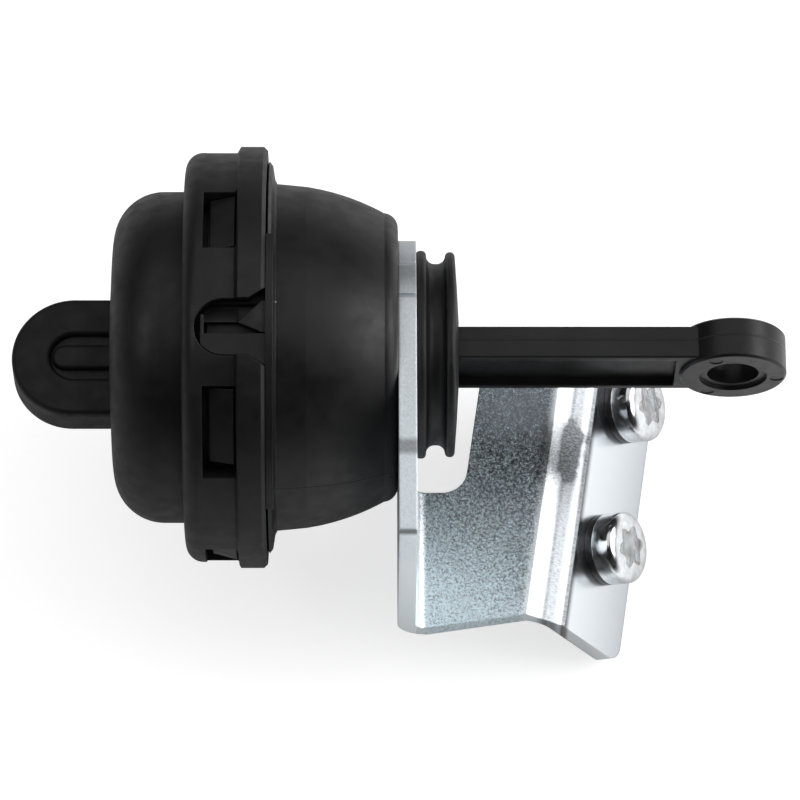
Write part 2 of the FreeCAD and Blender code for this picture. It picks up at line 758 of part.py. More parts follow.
def locking_wedge(body):
    """The ramped wedge in the notch's mouth, with its tip on the stop."""
    edge = -S.collar_front + S.fit_gap
    tip = -S.stop_front - S.fit_gap
    low = S.wedge_low
    high = low + S.wedge_width
    sketch = radial_sketch(body, "wedge_outline", S.notch_angle, LUG_ROOT)
    draw(
        sketch,
        [
            (tip, S.stop_low),
            (-S.wedge_front, low),
            (edge, low),
            (edge, high),
            (-S.wedge_front, high),
        ],
    )
    extrude(body, "locking_wedge", sketch, S.wedge_radius - LUG_ROOT)
    doc.recompute()
    side = high + S.fit_gap
    base = (ZERO, -side * sine(S.notch_angle), -side * cosine(S.notch_angle))
    ramp = new_sketch(body, "wedge_ramp_section", "XZ_Plane", base, (ZERO, ZERO, -S.notch_angle))
    draw(
        ramp,
        [
            (tip, S.wedge_radius - S.wedge_fall),
            (-S.wedge_front, S.wedge_radius),
            (-S.wedge_front, S.wedge_radius + S.fit_gap),
            (tip, S.wedge_radius + S.fit_gap),
        ],
    )
    pocket(body, "wedge_ramp", ramp, S.wedge_width + S.fit_gap, back=True)
    doc.recompute()


def stepped_lip(body):
    turns = (ZERO, ZERO, -S.step_angle)
    sketch = new_sketch(body, "step_section", turns=turns)
    front = -S.lip_front + S.fit_gap
    path = box_path(-S.collar_front + S.fit_gap, front, LUG_ROOT, S.step_radius)
    draw(sketch, path)
    spin(body, "lip_step", sketch, angle=S.step_arc)
    doc.recompute()


def make_front_housing():
    body = new_body("front_housing")
    profile = new_sketch(body, "housing_section")
    draw(profile, housing_profile())
    spin(body, "housing_shell", profile)
    doc.recompute()
    stepped_lip(body)
    bayonet_lugs(body)
    inner_end = locking_tongue(body)
    locking_stop(body, inner_end)
    locking_wedge(body)
    return body


# Diaphragm and the parts that move with the rod

def make_diaphragm():
    body = new_body("diaphragm")
    profile = new_sketch(body, "diaphragm_section")
    back = -S.collar_back + S.wall
    front = -S.rim_back
    bead_in = BEAD_RADIUS - S.bead_width
    thick = S.rubber
    fold = front - S.roll_depth
    wall_out = S.cup_mouth_radius + S.fit_gap + thick
    wall_in = S.cup_mouth_radius + S.fit_gap
    end_out = S.cup_radius + S.fit_gap + thick
    end_in = S.cup_radius + S.fit_gap
    face = -S.cup_face
    mouth = face - S.cup_length
    draw(
        profile,
        [
            (back, BEAD_RADIUS),
            (front, BEAD_RADIUS),
            (front, bead_in + thick),
            (fold + thick, bead_in - thick),
            (fold + thick, wall_out + thick),
            (mouth, wall_out),
            (face, end_out),
            (face + thick, end_out - thick),
            (face + thick, S.stub_radius + S.fit_gap),
            (face, S.stub_radius + S.fit_gap),
            (face, end_in),
            (mouth, wall_in),
            (fold, wall_out),
            (fold, bead_in - thick),
            (back, bead_in),
        ],
    )
    spin(body, "diaphragm_skin", profile)
    doc.recompute()
    return body


def make_cup():
    body = new_body("diaphragm_cup")
    profile = new_sketch(body, "cup_section")
    face = -S.cup_face
    mouth = face - S.cup_length
    floor = face - S.cup_wall
    hole = S.stub_radius + S.fit_gap
    draw(
        profile,
        [
            (face, hole),
            (face, S.cup_radius - S.cup_wall),
            (face - S.cup_wall * HALF, S.cup_radius - S.cup_wall * HALF * HALF),
            (mouth, S.cup_mouth_radius),
            (mouth, S.cup_mouth_radius - S.cup_wall),
            (floor, S.cup_radius - S.cup_wall),
            (floor, S.seat_radius),
            (floor - S.seat_height, S.seat_radius),
            (floor - S.seat_height, S.seat_radius - S.seat_wall),
            (floor, S.seat_radius - S.seat_wall),
            (floor, hole),
        ],
    )
    spin(body, "cup_shell", profile)
    doc.recompute()
    return body


def make_clamp_plate():
    body = new_body("clamp_plate")
    profile = new_sketch(body, "plate_section")
    back = -S.cup_face + S.rubber
    front = back + S.plate_thickness
    draw(profile, box_path(back, front, S.stub_radius + S.fit_gap, S.plate_radius))
    spin(body, "plate_disc", profile)
    doc.recompute()
    return body


def make_retaining_ring():
    """Push-on ring that holds the stack against the rod's shoulder."""
    body = new_body("retaining_ring")
    profile = new_sketch(body, "ring_section")
    front = -S.cup_face - S.cup_wall
    back = front - S.ring_thickness
    draw(profile, box_path(back, front, S.ring_groove + S.fit_gap, S.ring_radius))
    spin(body, "ring_disc", profile)
    doc.recompute()
    slot = new_sketch(body, "ring_slot_outline", "YZ_Plane", (ZERO, ZERO, back))
    half = S.ring_slot * HALF
    draw(slot, box_path(-half, half, ZERO, S.ring_slot_reach))
    cut = pocket(body, "ring_slot", slot, S.ring_thickness, back=True)
    doc.recompute()
    ring_pattern(body, "ring_slots", [cut], slot, S.ring_slot_count, axis="N_Axis")
    doc.recompute()
    return body


def make_spring():
    body = new_body("return_spring")
    wire = S.spring_wire * HALF
    first = -S.cover_face + S.wall + S.cover_crown + wire + S.fit_gap
    last = -S.cup_face - S.cup_wall - wire - S.fit_gap
    profile = new_sketch(body, "wire_section")
    draw_circle(profile, (first, S.spring_radius), wire)
    doc.recompute()
    coil = body.newObject("PartDesign::AdditiveHelix", "coil")
    coil.Profile = profile
    coil.ReferenceAxis = (profile, ["H_Axis"])
    coil.Mode = "height-turns-angle"
    coil.setExpression("Height", (last - first).text)
    coil.setExpression("Turns", S.spring_turns.text)
    body.Tip = coil
    doc.recompute()
    return body


def make_stop_ring():
    body = new_body("rubber_stop_ring")
    profile = new_sketch(body, "stop_ring_section")
    front = -S.dome_face - S.wall
    shoulder = -S.cup_face + S.rubber + S.plate_thickness + S.shoulder_thickness
    draw(profile, box_path(shoulder + S.free_gap, front, S.stop_ring_inner, S.stop_ring_outer))
    spin(body, "stop_ring", profile)
    doc.recompute()
    return body


# Rod with its eye

def rod_stub(body):
    shoulder_back = -S.cup_face + S.rubber + S.plate_thickness
    shoulder_front = shoulder_back + S.shoulder_thickness
    groove_front = -S.cup_face - S.cup_wall
    groove_back = groove_front - S.ring_thickness
    floor = S.cover_face - S.wall - S.cover_crown
    stub_end = floor - S.travel - S.free_gap
    profile = new_sketch(body, "stub_section")
    draw(
        profile,
        [
            (-stub_end, ZERO),
            (-stub_end, S.stub_radius - S.bar_edge),
            (-stub_end + S.bar_edge, S.stub_radius),
            (groove_back, S.stub_radius),
            (groove_back, S.ring_groove),
            (groove_front, S.ring_groove),
            (groove_front, S.stub_radius),
            (shoulder_back, S.stub_radius),
            (shoulder_back, S.shoulder_radius),
            (shoulder_front, S.shoulder_radius),
            (shoulder_front, ZERO),
        ],
    )
    spin(body, "rod_stub", profile)
    doc.recompute()
    return shoulder_front


def bar_pockets(body, side):
    """A long pocket in one side of the bar, ended close to the eye."""
    name = "near" if side < 0 else "far"
    level = S.bar_width * HALF
    offset = (ZERO, ZERO, level if side < 0 else -level)
    sketch = new_sketch(body, "bar_pocket_%s_outline" % name, "XZ_Plane", offset)
    high = S.bar_height * HALF - S.bar_rim
    draw(sketch, box_path(-S.bar_pocket_start, -S.bar_pocket_end, -high, high))
    pocket(body, "bar_pocket_%s" % name, sketch, S.bar_pocket_depth, back=side > 0)
    doc.recompute()


def eye_details(body):
    half = S.eye_width * HALF
    for name, level, back in (("near", half, False), ("far", -half, True)):
        ring = new_sketch(body, "recess_%s_outline" % name, "XZ_Plane", (ZERO, ZERO, level))
        draw_circle(ring, (ZERO, ZERO), S.eye_recess)
        pocket(body, "recess_%s" % name, ring, S.eye_recess_depth, back=back)
        doc.recompute()
    hole = new_sketch(body, "eye_hole_outline", "XZ_Plane", (ZERO, ZERO, half))
    draw_circle(hole, (ZERO, ZERO), S.eye_hole)
    pocket(body, "eye_hole", hole, S.eye_width)
    doc.recompute()
    mark = new_sketch(body, "ejector_outline", "XZ_Plane", (ZERO, ZERO, half))
    spot = (S.ejector_ring * cosine(S.ejector_first), S.ejector_ring * sine(S.ejector_first))
    draw_circle(mark, spot, S.ejector_radius)
    cut = pocket(body, "ejector_mark", mark, S.ejector_depth)
    doc.recompute()
    ring_pattern(body, "ejector_marks", [cut], mark, S.ejector_count, axis="N_Axis")
    doc.recompute()


def make_rod():
    body = new_body("actuating_rod")
    shoulder = rod_stub(body)
    high = S.bar_height * HALF
    wide = S.bar_width * HALF
    section = new_sketch(body, "bar_section", "YZ_Plane", (ZERO, ZERO, shoulder - S.fit_gap))
    edge = S.bar_edge
    draw(
        section,
        [
            (wide - edge, -high),
            (wide, -high + edge, edge, 1),
            (wide, high - edge),
            (wide - edge, high, edge, 1),
            (edge - wide, high),
            (-wide, high - edge, edge, 1),
            (-wide, edge - high),
            (edge - wide, -high, edge, 1),
        ],
    )
    reach = S.eye_recess + S.fit_gap
    extrude(body, "bar", section, -shoulder - reach + S.fit_gap)
    doc.recompute()
    eye = new_sketch(body, "eye_outline", "XZ_Plane", (ZERO, ZERO, -S.eye_width * HALF))
    draw_circle(eye, (ZERO, ZERO), S.eye_radius)
    pad = extrude(body, "eye", eye, S.eye_width)
    doc.recompute()

    def is_eye_rim(edge):
        if not hasattr(edge.Curve, "Radius"):
            return False
        flat = near(edge.BoundBox.YMin, edge.BoundBox.YMax)
        outside = near(abs(edge.BoundBox.YMin), S.eye_width.value * HALF)
        return flat and outside and near(edge.Curve.Radius, S.eye_radius.value)

    names = edges_where(pad.Shape, is_eye_rim)
    dress(body, "eye_edges", "PartDesign::Chamfer", pad, names, S.eye_edge)
    doc.recompute()
    bar_pockets(body, -1)
    bar_pockets(body, 1)
    eye_details(body)
    return body


# Guide bush and retaining spool on the neck

def slot_cut(body, name, plane_x, length, gap):
    high = S.bar_height * HALF + gap
    wide = S.bar_width * HALF + gap
    sketch = new_sketch(body, name + "_outline", "YZ_Plane", (ZERO, ZERO, plane_x))
    draw(sketch, box_path(-wide, wide, -high, high))
    pocket(body, name, sketch, length, back=True)
    doc.recompute()


def make_guide_bush():
    body = new_body("guide_bush")
    profile = new_sketch(body, "bush_section")
    end = -S.neck_end
    draw(
        profile,
        [
            (-S.bush_back, ZERO),
            (-S.bush_back, S.neck_bore - S.fit_gap),
            (end, S.neck_bore - S.fit_gap),
            (end, S.bush_flange_radius),
            (end + S.bush_flange, S.bush_flange_radius),
            (end + S.bush_flange, ZERO),
        ],
    )
    spin(body, "bush_solid", profile)
    doc.recompute()
    length = S.bush_back - S.neck_end + S.bush_flange
    slot_cut(body, "bush_slot", -S.bush_back, length, S.slide_gap)
    return body


def spool_profile():
    back = -S.dome_face + S.sheet_metal
    front = -S.spool_front
    round_rim = S.spool_rim_round
    deep = S.spool_groove_round
    rim = S.spool_radius
    rim_front = S.spool_front_radius
    left_end = back + S.spool_back_rim
    right_start = front - S.spool_front_rim
    bore = S.neck_radius + S.neck_bead + S.spool_shift + S.free_gap
    seat = -S.neck_end + S.bush_flange + S.fit_gap
    return [
        (back, bore),
        (back, rim - round_rim),
        (back + round_rim, rim, round_rim, -1),
        (left_end - round_rim, rim),
        (left_end, rim - round_rim, round_rim, -1),
        (left_end, S.spool_groove + deep),
        (left_end + deep, S.spool_groove, deep, 1),
        (right_start - deep, S.spool_groove),
        (right_start, S.spool_groove + deep, deep, 1),
        (right_start, rim_front - round_rim),
        (right_start + round_rim, rim_front, round_rim, -1),
        (front - round_rim, rim_front),
        (front, rim_front - round_rim, round_rim, -1),
        (front + S.spool_crown * HALF, S.spool_crown_edge),
        (front + S.spool_crown, S.spool_crown_flat),
        (front + S.spool_crown, ZERO),
        (seat, ZERO),
        (seat, bore),
    ]


def make_spool():
    body = new_body("retaining_spool")
    profile = new_sketch(body, "spool_section")
    draw(profile, spool_profile())
    spin(body, "spool_solid", profile)
    doc.recompute()
    seat = -S.neck_end + S.bush_flange
    gap = S.spool_shift + S.free_gap
    slot_cut(body, "spool_slot", seat, S.neck_end - S.spool_front + S.wall, gap)
    body.setExpression("Placement.Base.y", S.spool_shift.text)
    body.Placement.Base.y = S.spool_shift.value
    doc.recompute()
    return body


# Bracket, folded from one sheet

def along(step_q, step_b):
    """A point of the web's plane, from the second bend's reference point."""
    x = -S.bend_x + step_q * cosine(S.bend_tilt) + step_b * sine(S.bend_tilt)
    y = -S.bend_y - step_q * sine(S.bend_tilt) + step_b * cosine(S.bend_tilt)
    return x, y


def bracket_flange(body):
    back = -S.dome_face
    sketch = new_sketch(body, "flange_outline", "YZ_Plane", (ZERO, ZERO, back))
    rad = S.flange_radius
    foot = -S.flange_foot
    edge = S.flange_foot_round
    low = -S.web_level + S.web_fold_radius
    draw(
        sketch,
        [
            (ZERO, -rad),
            (rad, ZERO, rad, 1),
            (ZERO, rad, rad, 1),
            (foot + edge, rad),
            (foot, rad - edge, edge, 1),
            (foot, low),
            (-S.web_root, low),
            (-S.web_shoulder, -rad),
        ],
    )
    draw_circle(sketch, (ZERO, ZERO), S.neck_radius + S.fit_gap)
    extrude(body, "flange", sketch, S.sheet_metal)
    doc.recompute()


def rim_notches(body):
    """The two small notches in the flange's round end."""
    for name, angle in (("a", S.notch_cut_a), ("b", S.notch_cut_b)):
        base = (ZERO, ZERO, -S.dome_face)
        sketch = new_sketch(body, "rim_notch_%s_outline" % name, "YZ_Plane", base)
        half = S.notch_cut_width * HALF
        rad = S.flange_radius
        deep = rad - S.notch_cut_depth
        out = rad + S.notch_cut_depth
        c, s = cosine(angle), sine(angle)
        draw(
            sketch,
            [
                (deep * c, deep * s),
                (out * c + half * s, out * s - half * c),
                (out * c - half * s, out * s + half * c),
            ],
        )
        pocket(body, "rim_notch_%s" % name, sketch, S.sheet_metal, back=True)
        doc.recompute()


def bracket_first_bend(body):
    x_in = -S.dome_face + S.sheet_metal + S.web_fold_radius
    z_in = -S.web_level + S.web_fold_radius
    outer = S.web_fold_radius + S.sheet_metal
    sketch = new_sketch(body, "first_bend_section", "XZ_Plane", (ZERO, ZERO, S.web_root))
    draw(
        sketch,
        [
            (x_in - outer, z_in),
            (x_in, z_in - outer, outer, 1),
            (x_in, z_in - S.web_fold_radius),
            (x_in - S.web_fold_radius, z_in, S.web_fold_radius, -1),
        ],
    )
    extrude(body, "first_bend", sketch, S.flange_foot - S.web_root)
    doc.recompute()


def bracket_web(body):
    x_in = -S.dome_face + S.sheet_metal + S.web_fold_radius
    level = -S.web_level - S.sheet_metal
    sketch = new_sketch(body, "web_outline", "XY_Plane", (ZERO, ZERO, level))
    inner = -S.arm_width
    turn = S.cutout_round
    # the cut-out's corner, where its bottom meets the arm
    climb = (-S.web_root + S.bend_y + inner * sine(S.bend_tilt)) / cosine(S.bend_tilt)
    reach = turn * cosine(S.bend_tilt) / (sine(S.bend_tilt) + 1.0)
    corner_up = along(inner, climb + reach)
    corner_x = along(inner, climb)[0] - reach
    draw(
        sketch,
        [
            (x_in, -S.flange_foot),
            along(ZERO, -S.arm_low),
            along(ZERO, ARM_HIGH),
            along(inner, ARM_HIGH),
            corner_up,
            (corner_x, -S.web_root, turn, -1),
            (x_in, -S.web_root),
        ],
    )
    extrude(body, "web", sketch, S.sheet_metal)
    doc.recompute()


def bracket_second_bend(body):
    outer = S.bend_outer
    inner = S.bend_outer - S.sheet_metal
    x, y = along(ZERO, ARM_HIGH)
    base = (x, -S.web_level, -y)
    turns = (ZERO, -S.bend_tilt, ZERO)
    sketch = new_sketch(body, "second_bend_section", "XZ_Plane", base, turns)
    s, c = sine(S.bend_turn), cosine(S.bend_turn)
    draw(
        sketch,
        [
            (ZERO, ZERO),
            (ZERO, inner - outer),
            (inner * s, inner * c - outer, inner, -1),
            (outer * s, outer * c - outer),
        ],
    )
    return sketch


def bracket_plate(body):
    s, c = sine(S.bend_turn), cosine(S.bend_turn)
    x, y = along(S.bend_outer * s, ZERO)
    z = -S.web_level + S.bend_outer * c - S.bend_outer
    base = (x, y, z)
    turns = (-S.bend_tilt, S.bend_turn, ZERO)
    sketch = new_sketch(body, "plate_outline", "XY_Plane", base, turns)
    low, high = -S.arm_low, ARM_HIGH
    wide = S.plate_width
    edge = S.plate_round
    draw(
        sketch,
        [
            (ZERO, low),
            (wide - edge, low),
            (wide, low + edge, edge, 1),
            (wide, high - edge),
            (wide - edge, high, edge, 1),
            (ZERO, high),
        ],
    )
    hole = S.shank_radius + S.screw_hole_gap
    draw_circle(sketch, (S.screw_in, S.screw_low), hole)
    draw_circle(sketch, (S.screw_in, S.screw_low + S.screw_pitch), hole)
    extrude(body, "screw_plate", sketch, S.sheet_metal, back=True)
    doc.recompute()


def make_bracket():
    body = new_body("mounting_bracket")
    bracket_flange(body)
    rim_notches(body)
    bracket_first_bend(body)
    bracket_web(body)
    section = bracket_second_bend(body)
    extrude(body, "second_bend", section, ARM_HIGH + S.arm_low)
    doc.recompute()
    bracket_plate(body)
    return body


# Screws and their washers, on the screw plate

def plate_place(height, step):
    """Placement text of a spot on the screw plate, height above its face."""
    s, c = sine(S.bend_turn), cosine(S.bend_turn)
    out = S.bend_outer * s + S.screw_in * c + height * s
    x, y = along(out, step)
    drop = S.bend_outer - S.bend_outer * c + S.screw_in * s - height * c
    return place_text((x, y, -S.web_level - drop), (-S.bend_tilt, S.bend_turn, ZERO))


def make_screw(name, step):
    body = new_body(name)
    profile = new_sketch(body, name + "_section")
    top = S.head_height
    draw(
        profile,
        [
            (ZERO, -S.shank_length),
            (S.shank_radius - S.shank_tip, -S.shank_length),
            (S.shank_radius, -S.shank_length + S.shank_tip),
            (S.shank_radius, -S.shank_neck_length),
            (S.shank_neck, -S.shank_neck_length),
            (S.shank_neck, ZERO),
            (S.head_radius, ZERO),
            (S.head_radius, S.head_side),
            (S.head_top_radius, top, S.head_curve, 1),
            (ZERO, top),
        ],
    )
    spin(body, name + "_blank", profile, axis="V_Axis")
    doc.recompute()
    recess = new_sketch(body, name + "_recess_outline", "XY_Plane", (ZERO, ZERO, top))
    draw_circle(recess, (ZERO, ZERO), S.recess_radius)
    pocket(body, name + "_recess", recess, S.recess_depth)
    doc.recompute()
    lobe = new_sketch(body, name + "_lobe_outline", "XY_Plane", (ZERO, ZERO, top))
    draw_circle(lobe, (S.recess_reach, ZERO), S.recess_lobe)
    cut = pocket(body, name + "_lobe", lobe, S.recess_depth)
    doc.recompute()
    ring_pattern(body, name + "_lobes", [cut], lobe, S.recess_lobes, axis="N_Axis")
    body.setExpression("Placement", plate_place(S.washer_thickness, step))
    doc.recompute()
    return body


def make_washer(name, step):
    body = new_body(name)
    profile = new_sketch(body, name + "_outline", "XY_Plane")
    draw_circle(profile, (ZERO, ZERO), S.washer_radius)
    draw_circle(profile, (ZERO, ZERO), S.shank_neck + S.fit_gap)
    extrude(body, name + "_disc", profile, S.washer_thickness)
    body.setExpression("Placement", plate_place(ZERO, step))
    doc.recompute()
    return body


def group(name, members):
    both = doc.addObject("Part::Compound", name)
    both.Label = name
    both.Links = members
    doc.recompute()
    return both


lower, upper = S.screw_low, S.screw_low + S.screw_pitch
nodes = [
    make_rear_cover(),
    make_front_housing(),
    make_diaphragm(),
    make_cup(),
    make_clamp_plate(),
    make_retaining_ring(),
    make_spring(),
    make_stop_ring(),
    make_rod(),
    make_guide_bush(),
    make_spool(),
    make_bracket(),
    group("mounting_screws", [make_screw("screw_a", lower), make_screw("screw_b", upper)]),
    group("screw_washers", [make_washer("washer_a", lower), make_washer("washer_b", upper)]),
]
doc.recompute()

for item in doc.Objects:
    if "Invalid" in item.State or "Error" in item.State:
        raise RuntimeError("%s did not build: %s" % (item.Name, item.State))
for node in nodes:
    shape = node.Shape
    if shape.isNull() or not shape.isValid():
        raise RuntimeError("%s has no sound shape" % node.Label)
    shape.exportStep("parts/%s.step" % node.Label)
    box = shape.BoundBox
    print(
        "%-18s solids %d volume %9.2f  x %7.2f %7.2f  y %7.2f %7.2f  z %7.2f %7.2f"
        % (
            node.Label,
            len(shape.Solids),
            shape.Volume,
            box.XMin,
            box.XMax,
            box.YMin,
            box.YMax,
            box.ZMin,
            box.ZMax,
        )
    )
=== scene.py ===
# %% [markdown]
# # Vacuum modulator valve
#
# The object is a small actuator from an engine bay. A black plastic can holds
# a rubber diaphragm, which pulls a flat rod with an eye. A folded steel bracket
# carries the can, and two screws hold the bracket. Its shapes come from the
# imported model, which is loaded first and never moved. This script adds the
# finishes, the rounded edges, and a few small shapes that show close up.

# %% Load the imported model
import json
import math
from types import SimpleNamespace

import bmesh
import bpy
from mathutils import Matrix, Vector


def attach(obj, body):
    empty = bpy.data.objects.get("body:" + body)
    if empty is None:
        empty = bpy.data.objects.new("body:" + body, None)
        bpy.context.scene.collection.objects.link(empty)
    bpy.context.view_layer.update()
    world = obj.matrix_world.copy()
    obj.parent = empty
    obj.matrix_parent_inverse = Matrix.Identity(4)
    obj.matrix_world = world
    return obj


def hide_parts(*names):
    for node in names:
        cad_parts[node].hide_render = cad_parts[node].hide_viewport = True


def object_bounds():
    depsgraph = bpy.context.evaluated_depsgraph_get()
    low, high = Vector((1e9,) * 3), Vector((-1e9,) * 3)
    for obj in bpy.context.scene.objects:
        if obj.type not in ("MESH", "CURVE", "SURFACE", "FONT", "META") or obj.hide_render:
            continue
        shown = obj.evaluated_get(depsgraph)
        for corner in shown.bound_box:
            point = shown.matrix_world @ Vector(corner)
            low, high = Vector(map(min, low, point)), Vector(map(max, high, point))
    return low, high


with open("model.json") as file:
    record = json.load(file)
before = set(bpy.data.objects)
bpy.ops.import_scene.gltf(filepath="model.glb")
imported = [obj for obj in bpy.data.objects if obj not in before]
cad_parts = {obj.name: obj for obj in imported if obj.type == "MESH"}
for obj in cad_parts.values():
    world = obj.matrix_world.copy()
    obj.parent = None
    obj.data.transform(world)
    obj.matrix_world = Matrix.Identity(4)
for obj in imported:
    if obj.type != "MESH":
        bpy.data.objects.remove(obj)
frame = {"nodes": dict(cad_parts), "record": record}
nodes = frame["nodes"]
first_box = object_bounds()
MM = 0.001

# %% [markdown]
# ## The camera
#
# The photograph is taken from high in front, with a long lens. The camera's
# place is worked out from its tilt, its distance and the spot it looks at, so
# each of those stays a number that can be understood and changed.

# %% Place the camera
TILT = math.radians(67.1)
ROLL = math.radians(0.45)
DISTANCE = 770 * MM
PIXEL = 0.14 * MM
CENTRE_LEFT_OF_EYE = 332.3 * PIXEL
CENTRE_BELOW_EYE = 42.5 * PIXEL
SENSOR_WIDTH = 36.0
PICTURE_WIDTH = 800.0
CLIP_NEAR = 0.05
CLIP_FAR = 20.0

lean = Vector((0.0, -math.cos(TILT), math.sin(TILT)))
camera_up = Vector((0.0, math.sin(TILT), math.cos(TILT)))
camera_right = Vector((math.cos(ROLL), 0.0, 0.0)) + lean * math.sin(ROLL)
camera_back = lean * math.cos(ROLL) - Vector((math.sin(ROLL), 0.0, 0.0))
target = -camera_right * CENTRE_LEFT_OF_EYE - camera_up * CENTRE_BELOW_EYE

camera_data = bpy.data.cameras.new("photo_camera")
camera_data.lens = DISTANCE / PIXEL * SENSOR_WIDTH / PICTURE_WIDTH
camera_data.clip_start = CLIP_NEAR
camera_data.clip_end = CLIP_FAR
camera = bpy.data.objects.new("photo_camera", camera_data)
axes = Matrix((camera_right, camera_up, camera_back)).transposed().to_4x4()
camera.matrix_world = Matrix.Translation(target + camera_back * DISTANCE) @ axes
bpy.context.scene.collection.objects.link(camera)
bpy.context.scene.camera = camera
print("lens in mm:", round(camera_data.lens, 1))

# %% [markdown]
# ## Tools for finishes
#
# Every finish is a set of shader nodes. They read Object coordinates, which
# stay fixed to the part and are in metres, so a pattern has a real size. The
# small helpers below each add one step, so a finish can be read as a recipe.
# The first of them work on the world as well as on a material.

# %% Helpers that add and join nodes
def add(owner, kind, **settings):
    node = owner.node_tree.nodes.new("ShaderNode" + kind)
    for name, value in settings.items():
        setattr(node, name, value)
    return node


def link(owner, output, socket):
    owner.node_tree.links.new(output, socket)


def fill(owner, socket, value):
    """Gives a socket a plain number, or joins it to another node's output."""
    if isinstance(value, float):
        socket.default_value = value
    else:
        link(owner, value, socket)


def rescale(owner, value, from_low, from_high, to_low, to_high):
    """Moves one range of values smoothly onto another and stops at its ends."""
    remap = add(owner, "MapRange", interpolation_type="SMOOTHSTEP")
    numbers = (from_low, from_high, to_low, to_high)
    for name, number in zip(("From Min", "From Max", "To Min", "To Max"), numbers):
        remap.inputs[name].default_value = number
    link(owner, value, remap.inputs["Value"])
    return remap.outputs["Result"]


def calculate(owner, operation, first, second):
    node = add(owner, "Math", operation=operation)
    fill(owner, node.inputs[0], first)
    fill(owner, node.inputs[1], second)
    return node.outputs["Value"]


def choose(owner, factor, first, second):
    """The first value where the factor is nought, and the second where it is one."""
    node = add(owner, "Mix", data_type="FLOAT")
    link(owner, factor, node.inputs["Factor"])
    fill(owner, node.inputs["A"], first)
    fill(owner, node.inputs["B"], second)
    return node.outputs["Result"]


def band(owner, value, low, high, soft):
    """One between the two values, and fading to nought over the soft distance."""
    rise = rescale(owner, value, low - soft, low + soft, 0.0, 1.0)
    fall = rescale(owner, value, high - soft, high + soft, 1.0, 0.0)
    return calculate(owner, "MULTIPLY", rise, fall)


def split(owner, vector):
    parts = add(owner, "SeparateXYZ")
    link(owner, vector, parts.inputs["Vector"])
    return parts.outputs["X"], parts.outputs["Y"], parts.outputs["Z"]


def weighted(owner, *terms):
    """The sum of values, each with its own weight."""
    total = 0.0
    for value, weight in terms:
        total = calculate(owner, "ADD", total, calculate(owner, "MULTIPLY", value, weight))
    return total


print("node helpers ready")

# %% Helpers that build a finish
def new_finish(name, colour, roughness, metallic=0.0, specular=0.5):
    """A material with its constant values set on the shader's own sockets."""
    material = bpy.data.materials.new(name)
    material.use_nodes = True
    shader = material.node_tree.nodes["Principled BSDF"]
    shader.inputs["Base Color"].default_value = (*colour, 1.0)
    shader.inputs["Roughness"].default_value = roughness
    shader.inputs["Metallic"].default_value = metallic
    shader.inputs["Specular IOR Level"].default_value = specular
    return material


def shader_input(material, name):
    return material.node_tree.nodes["Principled BSDF"].inputs[name]


def on_part(material, shift=(0.0, 0.0, 0.0), turn=(0.0, 0.0, 0.0)):
    """The part's own coordinates, moved and turned."""
    place = add(material, "TexCoord")
    mapping = add(material, "Mapping")
    mapping.inputs["Location"].default_value = shift
    mapping.inputs["Rotation"].default_value = turn
    link(material, place.outputs["Object"], mapping.inputs["Vector"])
    return mapping.outputs["Vector"]


def grain(material, size, detail=4.0, roughness=0.55):
    """Cloudy noise whose blobs are about the given size in metres."""
    noise = add(material, "TexNoise")
    noise.inputs["Scale"].default_value = 1.0 / size
    noise.inputs["Detail"].default_value = detail
    noise.inputs["Roughness"].default_value = roughness
    link(material, on_part(material), noise.inputs["Vector"])
    return noise.outputs["Fac"]


def mix_colour(material, factor, first, second):
    mix = add(material, "Mix", data_type="RGBA")
    link(material, factor, mix.inputs["Factor"])
    for socket, colour in (("A", first), ("B", second)):
        target = [s for s in mix.inputs if s.name == socket and s.type == "RGBA"][0]
        if isinstance(colour, tuple):
            target.default_value = (*colour, 1.0)
        else:
            link(material, colour, target)
    return [s for s in mix.outputs if s.type == "RGBA"][0]


def rounded(material, radius, samples=6):
    """The surface's direction as if its sharp edges had the given radius."""
    edge = add(material, "Bevel", samples=samples)
    edge.inputs["Radius"].default_value = radius
    return edge.outputs["Normal"]


def relief(material, height, depth, under=None):
    """Small bumps of the given depth in metres, on top of the ones under them."""
    bump = add(material, "Bump")
    bump.inputs["Distance"].default_value = depth
    link(material, height, bump.inputs["Height"])
    if under is not None:
        link(material, under, bump.inputs["Normal"])
    return bump.outputs["Normal"]


print("finish helpers ready")

# %% [markdown]
# ## The studio: a table
#
# A pale table carries the object's soft shadow. Two things see it otherwise.
# Rays from the camera see it glow a little, so that it comes out white. Rays
# that a shiny surface sends out see it bright on the right and dark on the
# left, and bright again close in front of the bracket, as a white card would
# make it. That is what draws the shapes of black plastic and bright metal.

# %% Make the table
TABLE_GAP = 0.6 * MM
TABLE_SIZE = 3.0
TABLE_COLOUR = (0.55, 0.55, 0.55)
WHITE = (1.0, 1.0, 1.0, 1.0)
CAMERA_GLOW = 0.66
GLOSS_GLOW = 0.62
GLOSS_START, GLOSS_END = -25 * MM, 30 * MM
FRONT_GLOW = 0.5
FRONT_START, FRONT_END = -42 * MM, -54 * MM
FRONT_SIDE_START, FRONT_SIDE_END = -50 * MM, -43 * MM
table_top = first_box[0][2] - TABLE_GAP


def ray_kinds(owner):
    """One factor for rays from the camera, and one for glossy and clear rays."""
    path = add(owner, "LightPath")
    shiny = calculate(owner, "MAXIMUM", path.outputs["Is Glossy Ray"], path.outputs["Is Transmission Ray"])
    return path.outputs["Is Camera Ray"], shiny


